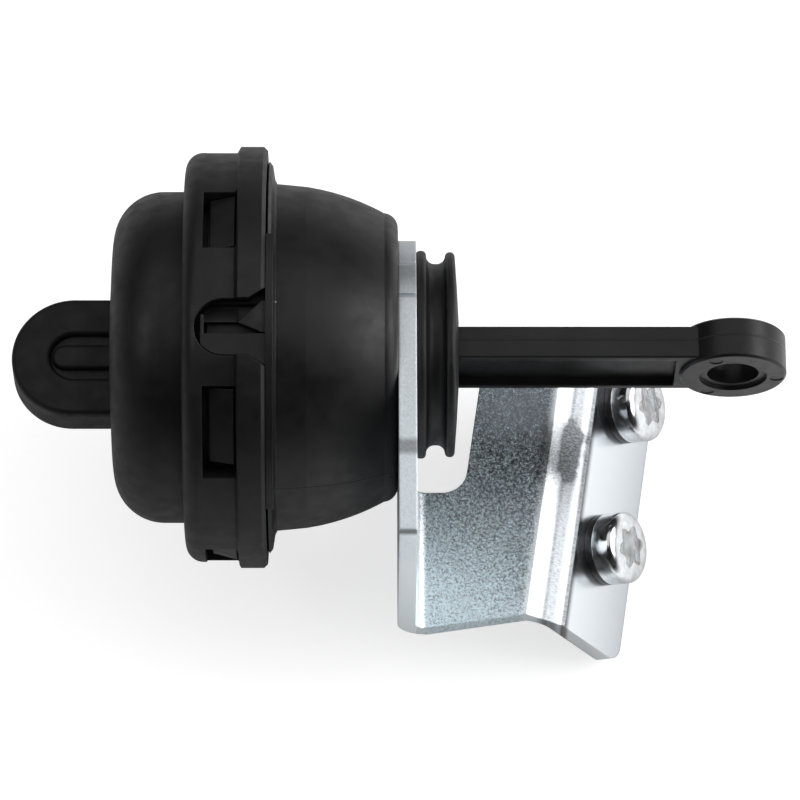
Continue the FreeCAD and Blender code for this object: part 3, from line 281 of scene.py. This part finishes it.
def table_finish():
    paper = new_finish("white_table", TABLE_COLOUR, 1.0, specular=0.0)
    shader_input(paper, "Emission Color").default_value = WHITE
    to_camera, to_shiny = ray_kinds(paper)
    x, y = split(paper, on_part(paper))[:2]
    right_side = rescale(paper, x, GLOSS_START, GLOSS_END, 0.0, GLOSS_GLOW)
    in_front = rescale(paper, y, FRONT_END, FRONT_START, FRONT_GLOW, 0.0)
    past_can = rescale(paper, x, FRONT_SIDE_START, FRONT_SIDE_END, 0.0, 1.0)
    mirrored = calculate(paper, "MAXIMUM", right_side, calculate(paper, "MULTIPLY", in_front, past_can))
    shiny_glow = calculate(paper, "MULTIPLY", to_shiny, mirrored)
    glow = weighted(paper, (shiny_glow, 1.0), (to_camera, CAMERA_GLOW))
    link(paper, glow, shader_input(paper, "Emission Strength"))
    return paper


table_mesh = bmesh.new()
bmesh.ops.create_grid(table_mesh, x_segments=1, y_segments=1, size=TABLE_SIZE)
bmesh.ops.translate(table_mesh, vec=(0.0, 0.0, table_top), verts=table_mesh.verts)
table_data = bpy.data.meshes.new("table")
table_mesh.to_mesh(table_data)
table_mesh.free()
table_data.materials.append(table_finish())
table = bpy.data.objects.new("table", table_data)
bpy.context.scene.collection.objects.link(table)
print("table at", round(table_top / MM, 1), "mm")

# %% [markdown]
# ## The studio: a room
#
# The camera sees a white world. Shiny surfaces see a room that is bright on
# the right, dimmer on the left and dark overhead. All other rays see a dim
# world, so that the lamps do the lighting.

# %% Make the world
WORLD_LEVEL = 0.45
CEILING = 0.03
SKY_FADE = 0.30
SIDE_LOW, SIDE_HIGH = 0.30, 1.0
SIDE_START, SIDE_END = -0.1, 0.85

world = bpy.data.worlds.new("studio")
world.use_nodes = True
bpy.context.scene.world = world
sky = world.node_tree.nodes["Background"]
sky.inputs["Color"].default_value = WHITE
way_x, way_y, way_z = split(world, add(world, "TexCoord").outputs["Generated"])
fade = rescale(world, way_z, 0.0, SKY_FADE, 1.0, CEILING)
side = rescale(world, way_x, SIDE_START, SIDE_END, SIDE_LOW, SIDE_HIGH)
room = calculate(world, "MULTIPLY", fade, side)
to_camera, to_shiny = ray_kinds(world)
strength = choose(world, to_camera, choose(world, to_shiny, WORLD_LEVEL, room), 1.0)
link(world, strength, sky.inputs["Strength"])
print("world", world.name, "ready")

# %% [markdown]
# ## The studio: lamps
#
# A wide lamp hangs above and behind, and makes the soft top light. A smaller
# one stands on the right for the metal, and a narrow one on the left draws the
# rims. Each is given its brightness for a square metre, so that its width can
# change without changing how bright it looks in a mirror.

# %% Place the lamps
LAMPS = (
    # name, direction from the object, distance, width, brightness
    ("lamp_over", (-0.05, 0.32, 0.94), 0.75, 1.00, 0.78),
    ("lamp_right", (0.83, 0.09, 0.55), 0.70, 0.56, 4.2),
    ("lamp_left", (-0.63, -0.05, 0.77), 0.80, 0.24, 4.0),
)
middle = (Vector(first_box[0]) + Vector(first_box[1])) / 2
for name, aim, distance, width, brightness in LAMPS:
    lamp_data = bpy.data.lights.new(name, "AREA")
    lamp_data.shape = "DISK"
    lamp_data.size = width
    area = math.pi * width * width / 4
    lamp_data.energy = brightness * math.pi * area
    lamp = bpy.data.objects.new(name, lamp_data)
    away = Vector(aim).normalized()
    lamp.location = middle + away * distance
    lamp.rotation_euler = away.to_track_quat("Z", "Y").to_euler()
    bpy.context.scene.collection.objects.link(lamp)

bpy.context.scene.view_settings.view_transform = "Standard"
print("lamps:", len(LAMPS))

# %% [markdown]
# ## Black moulded plastic
#
# The can, the rod and the spool are injection moulded. Such plastic is nearly
# black, with a satin skin that copies the mould: cloudy patches a few
# millimetres wide, a fine grain, and a dust speck here and there. The rounded
# look of sharp edges comes from a bevel step, which bends the light at an edge
# as a small radius does.

# %% Make the moulded finishes
PLASTIC_CLOUD = 7 * MM
PLASTIC_GRAIN = 0.22 * MM
GRAIN_DEPTH = 0.006 * MM
FINE_GRAIN_DEPTH = 0.003 * MM
PLASTIC_EDGE = 0.22 * MM
PLASTIC_SHINE = 0.36
CLOUD_RANGE = 0.38, 0.66
GLOSS_RANGE = 0.3, 0.7
DUST_CELL = 5.5 * MM
DUST_PATCH = 9 * MM
DUST_CORE, DUST_RIM = 0.016, 0.03
DUST_RANGE = 0.52, 0.56
DUST_COVER = 0.8
DUST_TONE = (0.30, 0.30, 0.29)
SEAM_WIDTH = 0.16 * MM
SEAM_HEIGHT = 0.05 * MM
SEAM_FADE = 1 * MM
SEAM_COVER = 0.5
SEAM_TONE = (0.020, 0.020, 0.021)
HOUSING_SEAM = (0.0, 0.66, 0.75), -9.44 * MM
ROD_SEAM = (0.0, 1.0, 0.0), 0.3 * MM


def dust_specks(material):
    """One in the middle of a speck of dust, in patches of the part."""
    cells = add(material, "TexVoronoi")
    cells.inputs["Scale"].default_value = 1.0 / DUST_CELL
    link(material, on_part(material), cells.inputs["Vector"])
    speck = rescale(material, cells.outputs["Distance"], DUST_CORE, DUST_RIM, 1.0, 0.0)
    patch = rescale(material, grain(material, DUST_PATCH, detail=0.0), *DUST_RANGE, 0.0, DUST_COVER)
    return calculate(material, "MULTIPLY", speck, patch)


def seam_line(material, seam):
    """One on the line that two halves of the mould leave on the upper side."""
    weights, distance = seam
    places = split(material, on_part(material))
    off_plane = weighted(material, *zip(places, weights))
    half = SEAM_WIDTH / 2
    line = band(material, off_plane, distance - half, distance + half, SEAM_WIDTH / 3)
    return calculate(material, "MULTIPLY", line, rescale(material, places[2], 0.0, SEAM_FADE, 0.0, 1.0))


def moulded(name, dark, light, smooth, rough, grain_depth=GRAIN_DEPTH, dust=True, seam=None):
    """Black plastic whose tone and gloss drift between two values.

    A seam is given as the weights of X, Y and Z and the distance of a plane
    from the origin.
    """
    material = new_finish(name, dark, smooth, specular=PLASTIC_SHINE)
    cloud = grain(material, PLASTIC_CLOUD)
    tone = mix_colour(material, rescale(material, cloud, *CLOUD_RANGE, 0.0, 1.0), dark, light)
    gloss = rescale(material, grain(material, PLASTIC_CLOUD / 3, detail=6.0), *GLOSS_RANGE, smooth, rough)
    under = rounded(material, PLASTIC_EDGE)
    if dust:
        tone = mix_colour(material, dust_specks(material), tone, DUST_TONE)
    if seam:
        line = seam_line(material, seam)
        under = relief(material, line, SEAM_HEIGHT, under)
        tone = mix_colour(material, calculate(material, "MULTIPLY", line, SEAM_COVER), tone, SEAM_TONE)
    fine = relief(material, grain(material, PLASTIC_GRAIN, detail=3.0), grain_depth, under)
    link(material, tone, shader_input(material, "Base Color"))
    link(material, gloss, shader_input(material, "Roughness"))
    link(material, fine, shader_input(material, "Normal"))
    print("made", material.name)
    return material


CAN_TONES = (0.004, 0.004, 0.0042), (0.007, 0.007, 0.0072)
PORT_TONES = (0.0022, 0.0022, 0.0023), (0.004, 0.004, 0.0041)
ROD_TONES = (0.0035, 0.0035, 0.0037), (0.006, 0.006, 0.0062)
SPOOL_TONES = (0.003, 0.003, 0.003), (0.005, 0.005, 0.005)
CUP_TONES = (0.030, 0.030, 0.031), (0.045, 0.045, 0.046)
BUSH_TONES = (0.66, 0.64, 0.58), (0.74, 0.72, 0.67)

cover_black = moulded("cover_black", *CAN_TONES, 0.42, 0.54)
housing_black = moulded("housing_black", *CAN_TONES, 0.38, 0.50, seam=HOUSING_SEAM)
port_black = moulded("port_black", *PORT_TONES, 0.50, 0.62, dust=False)
rod_black = moulded("rod_black", *ROD_TONES, 0.30, 0.42, FINE_GRAIN_DEPTH, seam=ROD_SEAM)
spool_black = moulded("spool_black", *SPOOL_TONES, 0.44, 0.56, dust=False)
cup_grey = moulded("cup_grey", *CUP_TONES, 0.45, 0.6, dust=False)
bush_pale = moulded("bush_pale", *BUSH_TONES, 0.35, 0.45, dust=False)

# %% [markdown]
# ## Zinc-plated sheet: where each zone lies
#
# The bracket is cut and folded from steel sheet and then plated. It has a
# flange round the can's neck, a web, a fold and a screw plate, and each looks
# different. So the finish first works out masks, which are one in a zone and
# nought outside it. They come from three coordinates: across the fold, along
# it, and down the cut edge of the flange.

# %% Find the bracket's zones
FOLD_TURN = math.radians(8.2)
FOLD_PLACE = 23.92 * MM
FOLD_START, FOLD_END, FOLD_SOFT = -0.7 * MM, 5.6 * MM, 0.5 * MM
WEB_START = -43.9 * MM
WEB_SOFT = 1.5 * MM
WEB_END_SOFT = 1.2 * MM
FLANGE_END = -44.2 * MM
FLANGE_TOP = 16.3 * MM
FLANGE_SOFT = 0.1 * MM
EDGE_DOWN = (0.921, 0.389)
UPPER_EDGE = -28.5 * MM, -27 * MM
UPPER_EDGE_MOTTLE = 0.05, 0.25


def bracket_zones(material):
    x, y, z = split(material, on_part(material))
    turned = on_part(material, turn=(0.0, 0.0, FOLD_TURN), shift=(FOLD_PLACE, 0.0, 0.0))
    across, along = split(material, turned)[:2]
    down = weighted(material, (y, EDGE_DOWN[0]), (z, EDGE_DOWN[1]))
    past_flange = rescale(material, x, WEB_START, WEB_START + WEB_SOFT, 0.0, 1.0)
    before_fold = rescale(material, across, -WEB_END_SOFT, 0.0, 1.0, 0.0)
    flange = rescale(material, x, FLANGE_END - FLANGE_SOFT, FLANGE_END + FLANGE_SOFT, 1.0, 0.0)
    upper_edge = rescale(material, down, *UPPER_EDGE, *UPPER_EDGE_MOTTLE)
    return SimpleNamespace(
        x=x, y=y, across=across, along=along, down=down, flange=flange,
        web=calculate(material, "MULTIPLY", past_flange, before_fold),
        fold=band(material, across, FOLD_START, FOLD_END, FOLD_SOFT),
        cut_edge=rescale(material, z, FLANGE_TOP - 2 * FLANGE_SOFT, FLANGE_TOP - FLANGE_SOFT, 0.0, 1.0),
        flange_mottle=calculate(material, "MULTIPLY", flange, upper_edge),
    )


print("bracket zones ready")

# %% [markdown]
# ## Zinc-plated sheet: the mottle and the fold
#
# Close up the plating is a salt-and-pepper mottle with a cold blue tint. Three
# sizes of noise make it. Painted shade is added to the mottle as more dark pits
# towards the web's upper end, where the can, the spool and the rod shade it. The
# fold is bright, with lines of painted shade along it and a patch of painted
# shade near its middle, where it mirrors the dark room, and the flange's cut
# edge has one band of painted shade.

# %% Helpers for the mottle and the fold
ZINC_SPECK = 0.11 * MM
ZINC_BLOT = 0.45 * MM
ZINC_PATCH = 5 * MM
BLOT_WEIGHT, PATCH_WEIGHT = 0.35, 0.05
SPECK_RANGE = 0.56, 0.71
# Painted shade: a slant across the web, and two ramps along it that darken the mottle towards the upper
# end.
SHADE_SLANT = (0.55, 0.80)
LOW_SHADE_RAMP = -47 * MM, -33 * MM, 0.0, 0.085
HIGH_SHADE_RAMP = -38 * MM, -17 * MM, 0.0, 0.075
HAIR_LENGTH, HAIR_WIDTH = 0.55 * MM, 0.16 * MM
HAIR_RANGE = 0.36, 0.60, 1.0, 0.86
WANDER_SIZE, WANDER_REACH = 2.2 * MM, 5 * MM
# Painted shade: a patch near the fold's middle, where it mirrors the dark room.
SHADE_PATCH_ALONG = -7.0 * MM, 1.2 * MM, 1.6 * MM
SHADE_PATCH_ACROSS = 1.0 * MM, 6.6 * MM, 1.1 * MM
SHADE_PATCH_WEIGHT = 0.66
# Painted shade: lines along the fold that stand for the dark room mirrored in its curve.
FOLD_SHADE_LINES = (
    # start and end across the fold, softness, weight
    (1.7 * MM, 4.5 * MM, 0.9 * MM, 0.76),
    (2.2 * MM, 2.6 * MM, 0.35 * MM, 0.14),
    (4.9 * MM, 5.9 * MM, 0.35 * MM, 0.88),
)
# Painted shade: a band across the flange's cut edge.
CUT_EDGE_SHADE = -13.2 * MM, -11.2 * MM, 0.5 * MM
CUT_EDGE_SHADE_WEIGHT = 0.6
DARKEST = 0.97


def mottle(material, zones):
    """Nought in the dark pits of the plating and one on its light grains, with painted shade that adds
    pits towards the web's upper end.
    """
    shade_slant = weighted(material, (zones.x, SHADE_SLANT[0]), (zones.y, SHADE_SLANT[1]))
    drift = weighted(
        material,
        (grain(material, ZINC_SPECK, detail=3.0, roughness=0.8), 1.0),
        (grain(material, ZINC_BLOT, detail=3.0), BLOT_WEIGHT),
        # Painted shade: more dark pits towards the web's upper end, where it is shaded.
        (rescale(material, shade_slant, *LOW_SHADE_RAMP), -1.0),
        (rescale(material, shade_slant, *HIGH_SHADE_RAMP), -1.0),
        (grain(material, ZINC_PATCH, detail=5.0), PATCH_WEIGHT),
    )
    return rescale(material, drift, *SPECK_RANGE, 0.0, 1.0)


def hairs(material, zones):
    """Noise whose blobs are long across the fold and narrow along it."""
    join = add(material, "CombineXYZ")
    link(material, calculate(material, "MULTIPLY", zones.across, 1.0 / HAIR_LENGTH), join.inputs["X"])
    link(material, calculate(material, "MULTIPLY", zones.along, 1.0 / HAIR_WIDTH), join.inputs["Y"])
    noise = add(material, "TexNoise")
    noise.inputs["Scale"].default_value = 1.0
    noise.inputs["Detail"].default_value = 3.0
    link(material, join.outputs["Vector"], noise.inputs["Vector"])
    return rescale(material, noise.outputs["Fac"], *HAIR_RANGE)


def painted_shade_patch(material, zones):
    """One in a patch of painted shade near the fold's middle, with a ragged edge."""
    wander = calculate(material, "MULTIPLY", grain(material, WANDER_SIZE, detail=5.0), WANDER_REACH)
    loose_y = calculate(material, "ADD", zones.y, wander)
    loose_across = calculate(material, "ADD", zones.across, wander)
    near_middle = band(material, loose_y, *SHADE_PATCH_ALONG)
    on_fold = band(material, loose_across, *SHADE_PATCH_ACROSS)
    return calculate(material, "MULTIPLY", near_middle, on_fold)


def zinc_shade(material, zones):
    """How dark the painted shade is: lines along the fold and a patch near its middle, where the fold
    mirrors the dark room, and a band on the flange's cut edge.
    """
    lines = [(band(material, zones.across, *row[:3]), row[3]) for row in FOLD_SHADE_LINES]
    cut_edge_shade = calculate(material, "MULTIPLY", zones.cut_edge, band(material, zones.down, *CUT_EDGE_SHADE))
    shade = weighted(
        material, *lines, (painted_shade_patch(material, zones), SHADE_PATCH_WEIGHT), (cut_edge_shade, CUT_EDGE_SHADE_WEIGHT)
    )
    shade = calculate(material, "MINIMUM", shade, DARKEST)
    return calculate(material, "MULTIPLY", shade, hairs(material, zones))


print("mottle and fold helpers ready")

# %% Make the zinc finish
ZINC_SMOOTH = (0.84, 0.885, 0.92)
ZINC_LIGHT = (0.78, 0.93, 1.0)
ZINC_PIT = (0.10, 0.11, 0.13)
ZINC_SHADE = (0.02, 0.021, 0.024)
ZINC_EDGE = 0.35 * MM
ZINC_PIT_DEPTH = 0.02 * MM
WEB_MOTTLE, FOLD_MOTTLE, LEAST_MOTTLE = 0.95, 0.15, 0.05
ZINC_ROUGH = 0.20
WEB_ROUGH, FOLD_ROUGH, SPECK_ROUGH, FLANGE_ROUGH = 0.06, 0.06, 0.04, 0.22


def zinc_finish():
    material = new_finish("zinc_mottled", ZINC_SMOOTH, ZINC_ROUGH, metallic=1.0)
    zones = bracket_zones(material)
    # The mottle holds painted shade as well as the plating's pits and grains.
    speck = mottle(material, zones)
    pits = mix_colour(material, speck, ZINC_PIT, ZINC_LIGHT)
    amount = weighted(
        material, (zones.web, WEB_MOTTLE), (zones.fold, FOLD_MOTTLE), (zones.flange_mottle, 1.0)
    )
    amount = calculate(material, "MAXIMUM", amount, LEAST_MOTTLE)
    tone = mix_colour(material, amount, ZINC_SMOOTH, pits)
    # Painted shade on the fold and the cut edge, mixed towards a near-black tone.
    tone = mix_colour(material, zinc_shade(material, zones), tone, ZINC_SHADE)
    rough = weighted(
        material, (zones.web, WEB_ROUGH), (zones.fold, FOLD_ROUGH), (speck, SPECK_ROUGH),
        (zones.flange, FLANGE_ROUGH),
    )
    rough = calculate(material, "ADD", rough, ZINC_ROUGH)
    height = calculate(material, "MULTIPLY", speck, amount)
    fine = relief(material, height, ZINC_PIT_DEPTH, rounded(material, ZINC_EDGE))
    link(material, tone, shader_input(material, "Base Color"))
    link(material, rough, shader_input(material, "Roughness"))
    link(material, fine, shader_input(material, "Normal"))
    return material


zinc = zinc_finish()
print("made", zinc.name)

# %% [markdown]
# ## The other finishes
#
# The screws are bright plated steel and their washers are dark. Inside the can
# are a rubber diaphragm, a spring and plain steel discs. They hardly show, and
# each still gets its own simple recipe.

# %% Make the small finishes
METAL_EDGE = 0.12 * MM
METAL_DULL = 0.78
METAL_RANGE = 0.35, 0.65
RUBBER_CLOUD = 3 * MM
RUBBER_RANGE = 0.35, 0.7
RUBBER_LIFT = 1.6
RUBBER_GRAIN = 0.3 * MM
RUBBER_DEPTH = 0.01 * MM


def plain_metal(name, colour, smooth, rough, size, depth):
    material = new_finish(name, colour, smooth, metallic=1.0)
    cloud = grain(material, size, detail=5.0)
    dull = tuple(part * METAL_DULL for part in colour)
    tone = mix_colour(material, rescale(material, cloud, *METAL_RANGE, 0.0, 1.0), dull, colour)
    gloss = rescale(material, cloud, *GLOSS_RANGE, smooth, rough)
    fine = relief(material, grain(material, size / 6), depth, rounded(material, METAL_EDGE, samples=4))
    link(material, tone, shader_input(material, "Base Color"))
    link(material, gloss, shader_input(material, "Roughness"))
    link(material, fine, shader_input(material, "Normal"))
    print("made", material.name)
    return material


def rubber(name, colour, roughness):
    material = new_finish(name, colour, roughness, specular=0.3)
    cloud = grain(material, RUBBER_CLOUD)
    lighter = tuple(part * RUBBER_LIFT for part in colour)
    tone = mix_colour(material, rescale(material, cloud, *RUBBER_RANGE, 0.0, 1.0), colour, lighter)
    fine = relief(material, grain(material, RUBBER_GRAIN), RUBBER_DEPTH)
    link(material, tone, shader_input(material, "Base Color"))
    link(material, fine, shader_input(material, "Normal"))
    print("made", material.name)
    return material


screw_bright = plain_metal("screw_bright", (0.80, 0.82, 0.84), 0.10, 0.22, 1.6 * MM, 0.002 * MM)
washer_dark = plain_metal("washer_dark", (0.10, 0.10, 0.105), 0.28, 0.42, 1.2 * MM, 0.003 * MM)
spring_bright = plain_metal("spring_bright", (0.50, 0.50, 0.52), 0.22, 0.36, 2.0 * MM, 0.003 * MM)
steel_plain = plain_metal("steel_plain", (0.60, 0.60, 0.60), 0.28, 0.42, 2.5 * MM, 0.003 * MM)
rubber_black = rubber("rubber_black", (0.013, 0.013, 0.013), 0.75)

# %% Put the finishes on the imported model
FINISHES = {
    "rear_cover": cover_black,
    "front_housing": housing_black,
    "diaphragm": rubber_black,
    "diaphragm_cup": cup_grey,
    "clamp_plate": steel_plain,
    "retaining_ring": spring_bright,
    "return_spring": spring_bright,
    "rubber_stop_ring": rubber_black,
    "actuating_rod": rod_black,
    "guide_bush": bush_pale,
    "retaining_spool": spool_black,
    "mounting_bracket": zinc,
    "mounting_screws": screw_bright,
    "screw_washers": washer_dark,
}
for name, material in FINISHES.items():
    for slot in nodes[name].material_slots:
        slot.material = material
print("finishes on CAD nodes:", len(FINISHES))

# %% [markdown]
# ## Pieces built from rings
#
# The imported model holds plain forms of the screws, the washers and the port's
# face. Their fine shapes are made here, from rings: circles of equal count that
# are bridged one to the next, as a turner's profile is. A ring can also be
# waved into six lobes, or drawn out into a slot.

# %% Helpers that build a piece from rings
SHARP = math.radians(30)


def ring(mesh, count, radius, height, shape=None):
    """A circle at a height, whose points a shape function may move."""
    made = bmesh.ops.create_circle(mesh, segments=count, radius=radius)["verts"]
    for vert in made:
        if shape:
            vert.co = shape(vert.co)
        vert.co.z = height
    return list({edge for vert in made for edge in vert.link_edges})


def loft(mesh, rings):
    """Bridges each ring to the next and closes both ends."""
    for lower, upper in zip(rings, rings[1:]):
        bmesh.ops.bridge_loops(mesh, edges=lower + upper)
    for end in (rings[0], rings[-1]):
        bmesh.ops.contextual_create(mesh, geom=end)
    bmesh.ops.recalc_face_normals(mesh, faces=mesh.faces)


def only_edges(parts):
    return [part for part in parts if isinstance(part, bmesh.types.BMEdge)]


def sharp_edges(mesh):
    return [e for e in mesh.edges if e.is_manifold and e.calc_face_angle(0.0) > SHARP]


def round_edges(mesh, edges, width, segments=3):
    bmesh.ops.bevel(
        mesh, geom=edges, offset=width, offset_type="OFFSET", affect="EDGES",
        segments=segments, profile=0.5, material=-1, clamp_overlap=True,
    )


def finished(name, mesh, material, body, replaces=None):
    """A piece in the scene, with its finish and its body."""
    for face in mesh.faces:
        face.smooth = True
    for edge in sharp_edges(mesh):
        edge.smooth = False
    data = bpy.data.meshes.new(name)
    mesh.to_mesh(data)
    mesh.free()
    data.materials.append(material)
    piece = bpy.data.objects.new(name, data)
    bpy.context.scene.collection.objects.link(piece)
    if replaces:
        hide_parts(replaces)
    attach(piece, body)
    print(name, len(data.polygons), "faces")


print("ring helpers ready")

# %% [markdown]
# ## The screws and their washers
#
# Each screw has a low domed head with a six-lobed recess, a plain neck that
# keeps it captive in the plate, and a rolled thread. The head and the neck are
# one stack of rings. The thread is a small four-cornered profile that is spun
# round the shank while it climbs. Both screws take their places and axes from
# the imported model's mounts.

# %% Helpers that shape a screw
SCREW_RING = 96
LOBES = 6
LOBE_WAVE = 0.18
HEAD_RADIUS = 5.15 * MM
HEAD_SIDE = 2.45 * MM
HEAD_HEIGHT = 3.45 * MM
HEAD_TOP = 3.2 * MM
RECESS_RADIUS = 2.5 * MM
RECESS_CHAMFER = 0.20 * MM
RECESS_DEPTH = 2.5 * MM
NECK_RADIUS = 2.05 * MM
NECK_LENGTH = 4.2 * MM
CORE_RADIUS = NECK_RADIUS + 0.02 * MM
RIDGE_FOOT = CORE_RADIUS - 0.1 * MM
RIDGE_STEPS = 32
THREAD_RADIUS = 2.5 * MM
THREAD_PITCH = 0.8 * MM
THREAD_PROFILE = (
    # radius, share of the pitch
    (RIDGE_FOOT, 0.0),
    (THREAD_RADIUS, 0.42),
    (THREAD_RADIUS, 0.54),
    (RIDGE_FOOT, 0.96),
)
SHANK_END = 12.2 * MM
SHANK_TIP = 0.6 * MM


def six_lobes(point):
    turn = math.atan2(point.y, point.x)
    return point * (1.0 + LOBE_WAVE * math.cos(LOBES * turn))


def quarter(steps):
    """Sine and cosine along a quarter round."""
    turns = [math.pi / 2 * step / steps for step in range(steps + 1)]
    return [(math.sin(turn), math.cos(turn)) for turn in turns]


def add_head(mesh):
    """The neck, the head with its elliptical shoulder, and the recess."""
    rows = [(NECK_RADIUS, -NECK_LENGTH), (NECK_RADIUS, 0.0), (HEAD_RADIUS, 0.0)]
    for s, c in quarter(5):
        rows.append((HEAD_TOP + (HEAD_RADIUS - HEAD_TOP) * c, HEAD_SIDE + (HEAD_HEIGHT - HEAD_SIDE) * s))
    rings = [ring(mesh, SCREW_RING, radius, height) for radius, height in rows]
    recess = (
        (RECESS_RADIUS + RECESS_CHAMFER, HEAD_HEIGHT),
        (RECESS_RADIUS, HEAD_HEIGHT - RECESS_CHAMFER),
        (RECESS_RADIUS, HEAD_HEIGHT - RECESS_DEPTH),
    )
    rings += [ring(mesh, SCREW_RING, radius, height, six_lobes) for radius, height in recess]
    loft(mesh, rings)


def add_thread(mesh):
    """A plain core with a helical ridge wound round it, closed at both ends."""
    start = -SHANK_END + SHANK_TIP
    rows = (CORE_RADIUS - SHANK_TIP, -SHANK_END), (CORE_RADIUS, start), (CORE_RADIUS, -NECK_LENGTH)
    loft(mesh, [ring(mesh, SCREW_RING, radius, height) for radius, height in rows])
    places = [(radius, 0.0, start + THREAD_PITCH * share) for radius, share in THREAD_PROFILE]
    corners = [mesh.verts.new(place) for place in places]
    first = [mesh.edges.new(pair) for pair in zip(corners, corners[1:] + corners[:1])]
    turns = int((-NECK_LENGTH - start) / THREAD_PITCH) - 1
    steps = turns * RIDGE_STEPS
    wound = bmesh.ops.spin(
        mesh, geom=corners + first, cent=(0.0, 0.0, 0.0), axis=(0.0, 0.0, 1.0), steps=steps,
        angle=math.tau * turns, dvec=(0.0, 0.0, THREAD_PITCH * turns / steps),
    )
    bmesh.ops.contextual_create(mesh, geom=first)
    bmesh.ops.contextual_create(mesh, geom=only_edges(wound["geom_last"]))


print("screw helpers ready")

# %% Make the screws and their washers
MOUNT_BELOW_PLATE = 6.7 * MM
SCREW_ROUND = 0.10 * MM
WASHER_RADIUS = 5.1 * MM
WASHER_HEIGHT = 1.2 * MM
WASHER_HOLE = 2.15 * MM
WASHER_ROUND = 0.18 * MM


def plate_place(mount):
    """The frame on the screw plate whose Z axis points out along the screw."""
    out = -Vector(mount["axis"]).normalized()
    spot = Vector(mount["pos_m"]) + out * MOUNT_BELOW_PLATE
    return Matrix.Translation(spot) @ out.to_track_quat("Z", "Y").to_matrix().to_4x4()


def make_screw():
    screw = bmesh.new()
    add_head(screw)
    round_edges(screw, sharp_edges(screw), SCREW_ROUND, segments=2)
    add_thread(screw)
    bmesh.ops.recalc_face_normals(screw, faces=screw.faces)
    return screw


def make_washer():
    washer = bmesh.new()
    rows = (
        (WASHER_HOLE, 0.0), (WASHER_RADIUS, 0.0),
        (WASHER_RADIUS, WASHER_HEIGHT), (WASHER_HOLE, WASHER_HEIGHT),
    )
    rings = [ring(washer, SCREW_RING, radius, height) for radius, height in rows]
    for lower, upper in zip(rings, rings[1:] + rings[:1]):
        bmesh.ops.bridge_loops(washer, edges=lower + upper)
    bmesh.ops.recalc_face_normals(washer, faces=washer.faces)
    round_edges(washer, sharp_edges(washer), WASHER_ROUND)
    return washer


def copy_to(target, part, place):
    bmesh.ops.transform(part, matrix=place, verts=part.verts)
    data = bpy.data.meshes.new("part")
    part.to_mesh(data)
    part.free()
    target.from_mesh(data)
    bpy.data.meshes.remove(data)


screws = bmesh.new()
washers = bmesh.new()
for mount in frame["record"]["mounts"]:
    if mount["name"].startswith("screw_"):
        place = plate_place(mount)
        copy_to(screws, make_screw(), place @ Matrix.Translation((0.0, 0.0, WASHER_HEIGHT)))
        copy_to(washers, make_washer(), place)
finished("screws_close", screws, screw_bright, "housing", "mounting_screws")
finished("washers_close", washers, washer_dark, "housing", "screw_washers")

# %% [markdown]
# ## The port's face
#
# The flat port behind the can has a lid with rounded edges, and a shallow
# pocket in which a half-round barrel lies. The profile is bridged as a stack of
# circles first, because rings that lie in one plane can be joined the wrong way
# round. Each ring then moves to its own level, and its near half is drawn out
# towards the can. The end is cut off flat inside the can's wall.

# %% Make the port's face plate
PORT_RING = 128
PORT_STEPS = 6
PORT_END = -92.06 * MM
PORT_REACH = 12 * MM
PORT_INNER = -86.0 * MM
PORT_FACE = 0.6 * MM
PORT_LID = 1.3 * MM
PORT_LID_RADIUS = 8.78 * MM
PORT_ROUND = 0.8 * MM
PORT_ROOT = -2.0 * MM
PORT_ROOT_RADIUS = 8.0 * MM
POCKET_RADIUS = 3.3 * MM
POCKET_ROUND = 0.7 * MM
POCKET_FLOOR = -0.4 * MM
BARREL_END = -93.35 * MM
BARREL_RADIUS = 1.82 * MM
BARREL_ROUND = 0.6 * MM
BARREL_TOP = 0.5 * MM
STACK_STEP = 1 * MM
MIDDLE = 0.001 * MM


def outer_round(radius, level, width):
    """Rows that go up and inward around an outer edge."""
    return [(radius - width + width * c, level - width + width * s) for s, c in quarter(PORT_STEPS)]


def inner_round(radius, level, width):
    """Rows that go inward and down around a pocket's rim."""
    return [(radius + width - width * s, level - width + width * c) for s, c in quarter(PORT_STEPS)]


def draw_out(edges, level, end):
    """Moves a ring to its place and pulls its near half on, which makes a slot."""
    for vert in {vert for edge in edges for vert in edge.verts}:
        pull = PORT_REACH if vert.co.x > MIDDLE else 0.0
        vert.co.x += end + pull
        vert.co.z = level


lid_low = PORT_FACE - PORT_LID
lid_rows = [(PORT_ROOT_RADIUS, PORT_ROOT), (PORT_ROOT_RADIUS, lid_low), (PORT_LID_RADIUS, lid_low)]
lid_rows += outer_round(PORT_LID_RADIUS, PORT_FACE, PORT_ROUND)
lid_rows += inner_round(POCKET_RADIUS, PORT_FACE, POCKET_ROUND)
lid_rows.append((POCKET_RADIUS, POCKET_FLOOR))
barrel_rows = [(BARREL_RADIUS, POCKET_FLOOR)] + outer_round(BARREL_RADIUS, BARREL_TOP, BARREL_ROUND)
rows = [(*row, PORT_END) for row in lid_rows] + [(*row, BARREL_END) for row in barrel_rows]

port = bmesh.new()
rings = [ring(port, PORT_RING, row[0], number * STACK_STEP) for number, row in enumerate(rows)]
loft(port, rings)
for edges, row in zip(rings, rows):
    draw_out(edges, *row[1:])
cut = bmesh.ops.bisect_plane(
    port, geom=[*port.verts, *port.edges, *port.faces], plane_co=(PORT_INNER, 0.0, 0.0),
    plane_no=(1.0, 0.0, 0.0), clear_outer=True,
)
bmesh.ops.contextual_create(port, geom=only_edges(cut["geom_cut"]))
bmesh.ops.recalc_face_normals(port, faces=port.faces)
finished("port_face", port, port_black, "housing")
